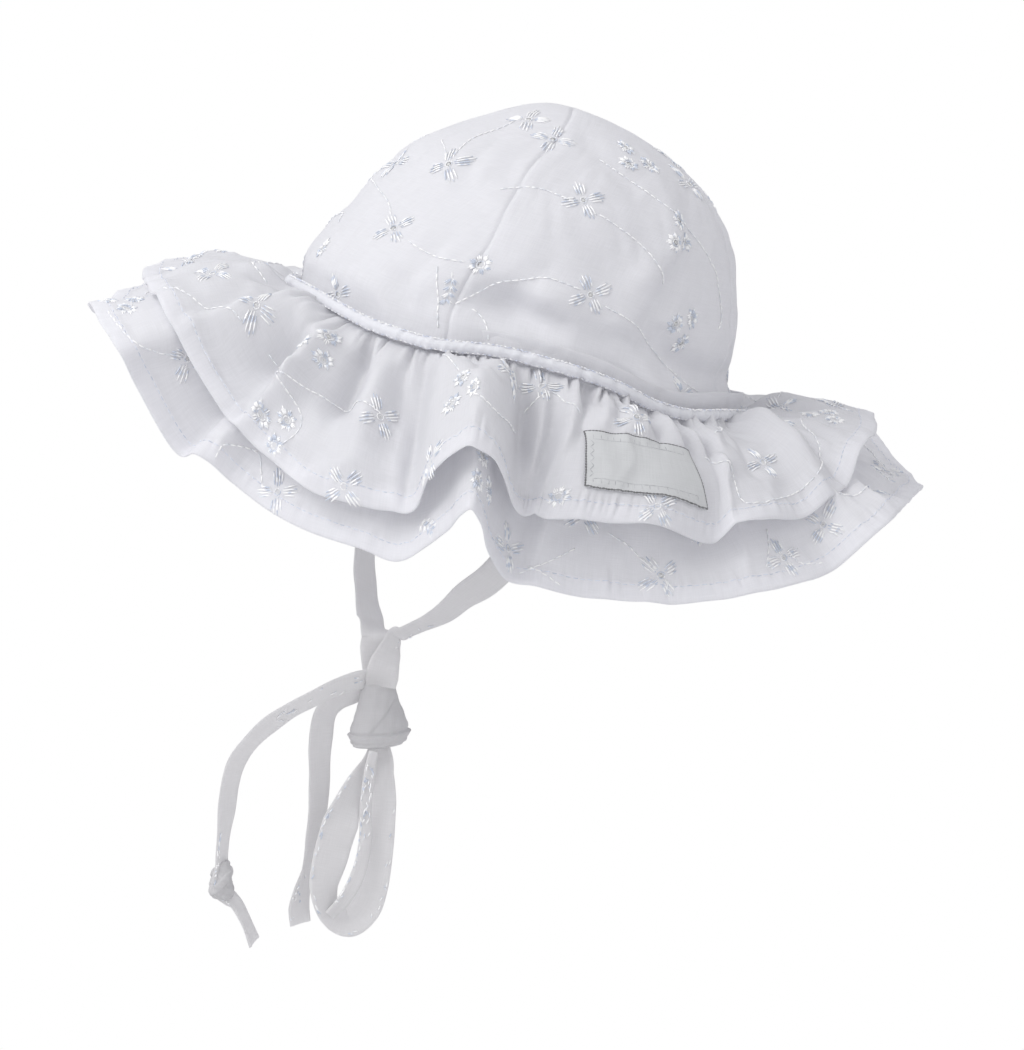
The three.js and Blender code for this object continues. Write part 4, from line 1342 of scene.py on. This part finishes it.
BRIM_VINES = [
    [(0, 0.95), (6, 0.91), (9, 0.76)],
    [(21, 0.97), (21.5, 0.88), (24.5, 0.8), (28, 0.93)],
    [(74.5, 0.95), (79.5, 0.87), (83, 0.79)],
    [(76, 0.91), (79, 0.94), (81.5, 0.97)],
    [(116.5, 0.7), (115.5, 0.8), (114, 0.9)],
    [(118, 0.83), (118.5, 0.91), (121, 0.95)],
    [(88, 0.7), (92, 0.76), (96, 0.85)],
    [(128, 0.74), (133, 0.8), (139, 0.8)],
]

# How far threads lie above the cloth: on the crown, on the ruffles and along their hems
CROWN_THREAD_LIFT = 0.1
LAYER_THREAD_LIFT = 0.05
HEM_THREAD_LIFT = 0.12

# Columns: name, ground, motifs, vines, and range, step, levels and seed of the unseen side
EMBROIDERIES = [
    (
        "crown_embroidery",
        Ground(crown_surface, CROWN_MOVES, CLOTH_THICKNESS / 2 + CROWN_THREAD_LIFT),
        CROWN_MOTIFS, CROWN_VINES, ((158, 334), 26, (-12, -38, -62), 81),
    ),
    (
        "ruffle_embroidery", layer_ground(RUFFLE, LAYER_THREAD_LIFT),
        RUFFLE_MOTIFS, RUFFLE_VINES, ((160, 350), 17, (0.28, 0.72), 82),
    ),
    (
        "brim_embroidery", layer_ground(BRIM, LAYER_THREAD_LIFT),
        BRIM_MOTIFS, BRIM_VINES, ((150, 352), 15, (0.35, 0.82), 83),
    ),
]
for name, ground, motifs, vines, unseen in EMBROIDERIES:
    more_motifs, more_vines = scatter(*unseen)
    make_embroidery(name, ground, motifs + more_motifs, vines + more_vines)


# Stitch lines: both hems and both edges of the piping
LINE_STEPS = 2400
PIPING_THREAD_LIFT = 0.14


def stitch_line(name, ground, level, material, length, gap, radius, zigzag=0.0, rise=0.03):
    """A line of equal stitches round the head, at a level that may change with the angle."""
    angle = np.linspace(0, 360, LINE_STEPS)
    points = ground.point(angle, level(angle))
    along = lengths_along(points)
    starts = np.arange(0, along[-1] - length, length + gap)
    first, last = np.interp(starts, along, angle), np.interp(starts + length, along, angle)
    sway = zigzag * np.where(np.arange(len(first)) % 2, 1, -1)
    ends = [first, level(first) - sway, last, level(last) + sway]
    rows = np.stack([*ends, np.full_like(first, radius), np.full_like(first, rise)], -1)
    points, faces = stitch_mesh(ground, rows)
    piece = new_piece(name, points, faces, material)


def piping_surface(angle, turn):
    """The cord's surface, turned downwards from its outermost line."""
    centre, outward = piping_centre(angle)
    radius = PIPING_DIAMETER / 2 - PIPING_SLIMMING + PIPING_THREAD_LIFT
    out, down = radius * np.cos(turn), radius * np.sin(turn)
    return centre + out[..., None] * outward - down[..., None] * AXIS


def hem_level(layer):
    """The level of a hem's stitch line, as a share of the way to the edge."""
    return lambda angle: 1 - HEM_LINE / layer.length(angle)


def same_level(turn):
    """One level all the way round the cord."""
    return lambda angle: np.full_like(angle, turn)


for name, layer in (("ruffle_hem_stitches", RUFFLE), ("brim_hem_stitches", BRIM)):
    hem_ground = layer_ground(layer, HEM_THREAD_LIFT)
    stitch_line(name, hem_ground, hem_level(layer), HEM_THREAD, length=1.7, gap=0.7, radius=0.17)
piping_ground = Ground(piping_surface, PIPING_MOVES, 0.0)
stitch_line(
    "piping_stitches_upper", piping_ground, same_level(-1.22), PIPING_THREAD,
    length=1.2, gap=0.12, radius=0.26, zigzag=0.17, rise=0.22,
)
stitch_line(
    "piping_stitches_lower", piping_ground, same_level(0.85), PIPING_THREAD,
    length=1.0, gap=0.7, radius=0.2, zigzag=0.06, rise=0.1,
)


# Label: a bare woven ribbon, its edges whipped in dark thread and sewn down with a blanket stitch
LABEL_LIFT = 0.8
LABEL_HALF = 0.25
LABEL_COLUMNS = 90
LABEL_ROWS = 40
LABEL_CLOTH = (1.5, 50)
LABEL_EDGE_STITCH = 0.9
LABEL_EDGE_INSET = 0.002
LABEL_EDGE_RADII = {"top": 0.2, "bottom": 0.3, "left": 0.3, "right": 0.14}

# Blanket stitch: its step, and how far its line and tips lie from the label's edge
BLANKET_STEP = 2.1
BLANKET_TOP = (3.3, 1.7)
BLANKET_BOTTOM = (3.0, 1.5)
BLANKET_TIP_RADIUS = 0.1
BLANKET_RADIUS = 0.09
BLANKET_RISE = 0.02

# Zigzag down the label's left end: how many, where they start and their step, as shares of the
# height, and how far from the edge they run
ZIGZAGS = 10
ZIGZAG_START = 0.18
ZIGZAG_STEP = 0.064
ZIGZAG_OUT = 1.2
ZIGZAG_WIDTH = 1.1


def label_surface(angle, share):
    """The label's place on the ruffle, with both of its ends leaning."""
    (left, right), (top, bottom) = LABEL_ANGLES, LABEL_SHARES
    across, down = (angle - left) / (right - left), (share - top) / (bottom - top)
    angle = angle + LABEL_LEFT_LEAN * (1 - across) * down - LABEL_RIGHT_LEAN * across * (1 - down)
    here, normal, _ = Ground(RUFFLE.point, LABEL_MOVES, 0).lay(angle, share)
    return here + normal * LABEL_LIFT


def make_label():
    angle = np.linspace(*LABEL_ANGLES, LABEL_COLUMNS)
    share = np.linspace(*LABEL_SHARES, LABEL_ROWS)
    angles, shares = np.meshgrid(angle, share, indexing="ij")
    grid = label_surface(angles, shares)
    half = np.full(grid.shape[:2], LABEL_HALF)
    uv = np.stack([angles * LABEL_CLOTH[0], shares * LABEL_CLOTH[1]], -1)
    piece = cloth_shell("label_ribbon", grid, half, half, False, LABEL_WEAVE, uv)
    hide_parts("label")


def make_label_stitches():
    """Two pieces: the whipped edges, and the stitches that sew the label down."""
    ground = Ground(label_surface, LAYER_MOVES, LABEL_HALF)
    (left, right), (top, bottom) = LABEL_ANGLES, LABEL_SHARES
    radii = LABEL_EDGE_RADII
    middle = np.array((left + right) / 2), np.array((top + bottom) / 2)
    rate_u, rate_v = (float(rate) for rate in ground.scales(*middle))
    wide, tall = (right - left) * rate_u, (bottom - top) * rate_v
    edge = []
    count = int(wide / LABEL_EDGE_STITCH)
    for n in range(count):
        u0, u1 = (left + (right - left) * m / count for m in (n, n + 1))
        for side, v in (("top", top + LABEL_EDGE_INSET), ("bottom", bottom - LABEL_EDGE_INSET)):
            edge.append((u0, v, u1, v, radii[side], 0.0))
    count = int(tall / LABEL_EDGE_STITCH)
    for n in range(count):
        v0, v1 = (top + (bottom - top) * m / count for m in (n, n + 1))
        for side, u in (("left", left), ("right", right)):
            edge.append((u, v0, u, v1, radii[side], 0.0))
    points, faces = stitch_mesh(ground, edge)
    new_piece("label_edge_stitches", points, faces, DARK_THREAD)
    rows = []
    count = int(wide / BLANKET_STEP)
    top_line, top_tip = (top + away / rate_v for away in BLANKET_TOP)
    bottom_line, bottom_tip = (bottom - away / rate_v for away in BLANKET_BOTTOM)
    for n in range(1, count):
        u0, u1 = (left + (right - left) * m / count for m in (n, n + 1))
        for line, tip in ((top_line, top_tip), (bottom_line, bottom_tip)):
            rows.append((u0, line, u0, tip, BLANKET_TIP_RADIUS, BLANKET_RISE))
            if n < count - 1:
                rows.append((u0, line, u1, line, BLANKET_RADIUS, BLANKET_RISE))
    for n in range(ZIGZAGS):
        v0, v1 = (top + (bottom - top) * (ZIGZAG_START + ZIGZAG_STEP * m) for m in (n, n + 1))
        out, back = (left + (ZIGZAG_OUT + ZIGZAG_WIDTH * ((n + m) % 2)) / rate_u for m in (0, 1))
        rows.append((out, v0, back, v1, BLANKET_RADIUS, BLANKET_RISE))
    points, faces = stitch_mesh(ground, rows)
    new_piece("label_blanket_stitches", points, faces, GREY_THREAD)


make_label()
make_label_stitches()


# Straps
STRAP_SIDES = 20
STRAP_THICKNESS = 0.7
STRAP_STEPS = 12
STRAP_SQUARENESS = 0.6

# The stitched bead near a strap's edges: height, place and width
STRAP_BEAD = 0.36
STRAP_BEAD_INSET = 0.9
STRAP_BEAD_WIDTH = 0.5

# Ripples of a strap. Columns: height, length along, length across. And the curl of its edges
STRAP_RIPPLES = [(0.22, 5.3, 5), (0.14, 2.7, -3)]
STRAP_CURL = 0.3
STRAP_CURL_LENGTH = 9.1


def strap_rings(route):
    """Rings round a strap, their places in its cloth, and its length. Turn 0 is flat along X."""
    rows = np.array(route, float)
    points, last = rows[:, :3], len(rows) - 1
    spans = np.linalg.norm(np.diff(points, axis=0), axis=1) ** 0.5
    knots = np.concatenate([[0], np.cumsum(spans)])
    position = np.linspace(0, last, last * STRAP_STEPS + 1)
    i = np.minimum(position.astype(int), last - 1)
    part = position - i
    t = knots[i] + part * spans[i]
    before = np.vstack([2 * points[0] - points[1], points, 2 * points[-1] - points[-2]])
    times = np.concatenate([[-spans[0]], knots, [knots[-1] + spans[-1]]])

    def level(values_a, values_b, time_a, time_b):
        w = ((t - time_a) / (time_b - time_a))[:, None]
        return values_a * (1 - w) + values_b * w

    p = [before[i + k] for k in range(4)]
    s = [times[i + k] for k in range(4)]
    a = [level(p[k], p[k + 1], s[k], s[k + 1]) for k in range(3)]
    b = [level(a[k], a[k + 1], s[k], s[k + 2]) for k in range(2)]
    centre = level(b[0], b[1], s[1], s[2])
    tangent = unit(np.gradient(centre, axis=0))
    flat = unit(SIDE - tangent * (tangent @ SIDE)[:, None])
    normal = np.cross(tangent, flat)
    blend = rows[i] * (1 - part[:, None]) + rows[i + 1] * part[:, None]
    turn = np.radians(blend[:, 3])[:, None]
    across = flat * np.cos(turn) + normal * np.sin(turn)
    through = np.cross(tangent, across)
    half_width = blend[:, 4:5] / 2
    corner = full_turn(STRAP_SIDES)
    wide = np.sign(np.cos(corner)) * np.abs(np.cos(corner)) ** STRAP_SQUARENESS
    along = lengths_along(centre)
    x = half_width * wide[None, :]
    bead = STRAP_BEAD * bell((half_width - np.abs(x) - STRAP_BEAD_INSET) / STRAP_BEAD_WIDTH)
    thick = np.sin(corner)[None, :] * (STRAP_THICKNESS / 2 + bead)
    draw = np.random.default_rng(len(route))
    *starts, curl_start = draw.uniform(0, 2 * math.pi, 3)
    s = along[:, None]
    ripple = 0
    for (height, length, length_across), begin in zip(STRAP_RIPPLES, starts):
        ripple = ripple + height * np.sin(s / length + begin + x / length_across)
    curl = STRAP_CURL * (x / half_width) ** 2 * np.sin(s / STRAP_CURL_LENGTH + curl_start)
    off = (thick + (ripple + curl))[..., None] * through[:, None]
    rings = centre[:, None] + x[..., None] * across[:, None] + off
    uv = np.stack(np.broadcast_arrays(x, s), -1)
    return rings, uv, along[-1]


strap_surfaces = {}


def make_strap(name, node, route):
    """A strap along a route, open at both ends. Without a node, it goes with another strap."""
    rings, uv, length = strap_rings(route)
    faces = tube_faces(len(rings), STRAP_SIDES, False)
    piece = new_piece(name, rings.reshape(-1, 3), faces, TIE_COTTON, uv.reshape(-1, 2))
    strap_surfaces[name] = rings
    if node:
        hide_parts(node)
    return piece


make_strap("strap_left", "tie_left", TIE_LEFT + INTO_KNOT["tie_left"])
make_strap("strap_right", "tie_right", TIE_RIGHT + INTO_KNOT["tie_right"])
loop_edge = make_strap("strap_loop_edge", None, LOOP_EDGE)
loop_route = INTO_KNOT["loop_start"] + LOOP + INTO_KNOT["loop_end"]
make_strap("strap_loop", "tie_loop", loop_route)
tail_route = INTO_KNOT["tail_long"] + TAIL_LONG + TAIL_KNOT + TAIL_END
make_strap("strap_tail_long", "tail_long", tail_route)
make_strap("strap_tail_short", "tail_short", INTO_KNOT["tail_short"] + TAIL_SHORT)


# Stitches of the same embroidery where the straps' cloth was cut through it.
# Columns: strap, share of its length from and to, place across from 0 to 1, scatter across, number
STRAP_STITCHES = [
    ("strap_loop_edge", 0.14, 0.5, 0.5, 0.3, 34),
    ("strap_loop_edge", 0.5, 0.95, 0.2, 0.1, 16),
    ("strap_loop", 0.12, 0.42, 0.14, 0.06, 22),
    ("strap_loop", 0.46, 0.8, 0.2, 0.1, 12),
    ("strap_tail_long", 0.06, 0.3, 0.5, 0.25, 14),
    ("strap_tail_long", 0.5, 0.84, 0.2, 0.08, 26),
    ("strap_tail_short", 0.75, 0.96, 0.3, 0.2, 10),
    ("strap_left", 0.5, 0.75, 0.7, 0.15, 8),
]
STRAP_STITCH_LENGTH = 1.5
STRAP_STITCH_LIFT = 0.1
STRAP_STITCH_RADIUS = 0.24
STRAP_STITCH_RISE = 0.18
STRAP_STITCH_LEAN = 0.5
STRAP_STITCH_REACH = (0.35, 0.6)


def grid_surface(rings):
    """A point function over a strap's rings: column, and step round the ring."""
    def point(u, v):
        u, v = np.broadcast_arrays(np.clip(u, 0, len(rings) - 1.001), np.mod(v, STRAP_SIDES))
        i, j = u.astype(int), v.astype(int)
        a, b = (u - i)[..., None], (v - j)[..., None]
        k = (j + 1) % STRAP_SIDES
        near = rings[i, j] * (1 - b) + rings[i, k] * b
        return near * (1 - a) + (rings[i + 1, j] * (1 - b) + rings[i + 1, k] * b) * a
    return point


def make_strap_stitches():
    """Loose stitches on the sides of the straps that face the photograph's camera."""
    draw = np.random.default_rng(97)
    points, faces = [], []
    total = 0
    for name, start, end, across, scatter_across, count in STRAP_STITCHES:
        rings = strap_surfaces[name]
        half = STRAP_SIDES // 2
        surface = grid_surface(rings)
        middle = rings[len(rings) * 2 // 5]
        toward = (middle[half // 2] - middle[half + half // 2]) @ VIEW_BACK
        column_length = np.linalg.norm(np.diff(rings.mean(1), axis=0), axis=1).mean()
        stitches = []
        for _ in range(count):
            u = (start + (end - start) * draw.uniform()) * (len(rings) - 1)
            place_across = across + scatter_across * draw.uniform(-1, 1)
            if toward > 0:
                v = 1 + (half - 2) * place_across
            else:
                v = half + 1 + (half - 2) * (1 - place_across)
            reach = STRAP_STITCH_LENGTH / column_length * draw.uniform(*STRAP_STITCH_REACH)
            lean = draw.uniform(-STRAP_STITCH_LEAN, STRAP_STITCH_LEAN)
            size = (STRAP_STITCH_RADIUS, STRAP_STITCH_RISE)
            stitches.append((u - reach, v - lean, u + reach, v + lean, *size))
        some, some_faces = stitch_mesh(Ground(surface, STRAP_MOVES, STRAP_STITCH_LIFT), stitches)
        points.append(some)
        faces.append(some_faces + total)
        total += len(some)
    piece = new_piece("strap_stitches", np.concatenate(points), np.concatenate(faces), THREAD)


make_strap_stitches()


# Knots
KNOT_ROWS = 110
KNOT_SIDES = 96

# How knots close at both ends: the shares that the rings shrink to, and how far the ends turn in
KNOT_CLOSING = (0.8, 0.45, 0.05)
KNOT_ENDS = (-1.2, 5)
TAIL_KNOT_ENDS = (-0.6, 0.6)

# Millimetres of cloth for a radian round a knot, and for one row
KNOT_CLOTH = (6, 0.3)

# Relief of the knot: levels of its wraps, how much they climb for a millimetre across, and heights
BAND_FOOT = -129.2
BAND_TOP = -124.9
BAND_HEIGHT = 0.8
FOOT_CLIMB = 0.05
TOP_CLIMB = 0.03
TOP_GROOVE = -124.6
TOP_GROOVE_DEPTH = 0.45
MIDDLE_GROOVE = -127.6
MIDDLE_GROOVE_DEPTH = 0.22
OVERLAP_LEVEL = -118.4
OVERLAP_CLIMB = 1.04
OVERLAP_TOP = -107.5
OVERLAP_HEIGHT = 0.5
OVERLAP_LINE_DEPTH = 0.2
NECK_LEVEL = -111
NECK_FOLDS = 0.22

# Relief of the small knot
WRAP_LEVEL = -172.5
WRAP_CLIMB = 0.9
WRAP_HALVES = (1.8, 2.6)
WRAP_HEIGHT = 0.5
WRAP_GROOVE = 3.4
WRAP_GROOVE_DEPTH = 0.2


def knot_relief(across, z):
    """Wraps of the knot: a band round its foot, a slanting overlap and small folds at its neck."""
    above_foot = smooth_step((z - BAND_FOOT - FOOT_CLIMB * across) / 0.6)
    below_top = smooth_step((BAND_TOP + TOP_CLIMB * across - z) / 0.7)
    band = BAND_HEIGHT * above_foot * below_top
    groove = -TOP_GROOVE_DEPTH * bell((z - TOP_GROOVE - TOP_CLIMB * across) / 0.5)
    middle = -MIDDLE_GROOVE_DEPTH * bell((z - MIDDLE_GROOVE - FOOT_CLIMB * across) / 0.4)
    slant = (z - OVERLAP_LEVEL) - OVERLAP_CLIMB * across
    above_band = smooth_step((z - TOP_GROOVE) / 1.5)
    overlap = OVERLAP_HEIGHT * smooth_step(slant / 0.6 + 0.5) * above_band
    overlap = overlap * smooth_step((OVERLAP_TOP - z) / 2)
    line = -OVERLAP_LINE_DEPTH * bell(slant / 0.45) * above_band
    neck = NECK_FOLDS * np.sin(z * 2.3 + 0.25 * across) * smooth_step((z - NECK_LEVEL) / 3)
    soft = 0.12 * np.sin(z * 0.9 + across * 0.6) + 0.08 * np.sin(across * 1.7 - z * 0.5)
    return band + groove + middle + overlap + line + neck + soft


def make_knot(name, sections, middle_x, relief_of, depths):
    """A wrapped knot from its sections, with its ends turned in by the depths given."""
    rows = np.linspace(0, len(sections) - 1, KNOT_ROWS)
    z, middle, half_width, half_thickness = read_rows(sections, rows).T
    turn = full_turn(KNOT_SIDES)
    across = half_width[:, None] * np.sin(turn)
    relief = relief_of(across * np.where(np.cos(turn) < 0, -1, 1), z[:, None])
    points = np.stack([
        middle_x + (half_thickness[:, None] + relief) * np.cos(turn),
        middle[:, None] + (half_width[:, None] + relief) * np.sin(turn),
        np.repeat(z[:, None], KNOT_SIDES, 1),
    ], -1)
    ends = []
    for ring, depth in ((points[0], depths[0]), (points[-1], depths[1])):
        centre = ring.mean(0)
        for share in KNOT_CLOSING:
            ends.append(centre + (ring - centre) * share + np.array([0, 0, depth * (1 - share)]))
    rings = np.stack([*ends[2::-1], *points, *ends[3:]])
    count = len(rings)
    cloth = turn[None, :] * KNOT_CLOTH[0], np.arange(count)[:, None] * KNOT_CLOTH[1]
    uv = np.stack(np.broadcast_arrays(*cloth), -1).reshape(-1, 2)
    j = np.arange(1, KNOT_SIDES - 2, 2)
    fan = np.stack([0 * j, j + 2, j + 1, j], -1)
    last = (count - 1) * KNOT_SIDES
    faces = np.concatenate([tube_faces(count, KNOT_SIDES, False), fan, fan[:, ::-1] + last])
    # Both knots take the darker cotton, which is painted shade
    piece = new_piece(name, rings.reshape(-1, 3), faces, SHADED_KNOT_COTTON, uv)
    return piece


def small_knot_relief(across, z):
    """Two slanting wraps."""
    slant = z - WRAP_LEVEL - WRAP_CLIMB * across
    low, high = WRAP_HALVES
    wraps = WRAP_HEIGHT * smooth_step((slant + low) / 0.9) * smooth_step((high - slant) / 0.9)
    groove = WRAP_GROOVE_DEPTH * bell((slant + WRAP_GROOVE) / 0.6)
    return wraps - groove + 0.15 * np.sin(z * 1.9 + across)


knot = make_knot("knot_cloth", KNOT_SECTIONS, KNOT_X, knot_relief, KNOT_ENDS)
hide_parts("tie_knot")
make_knot("tail_knot_cloth", TAIL_KNOT_SECTIONS, TAIL_KNOT_X, small_knot_relief, TAIL_KNOT_ENDS)
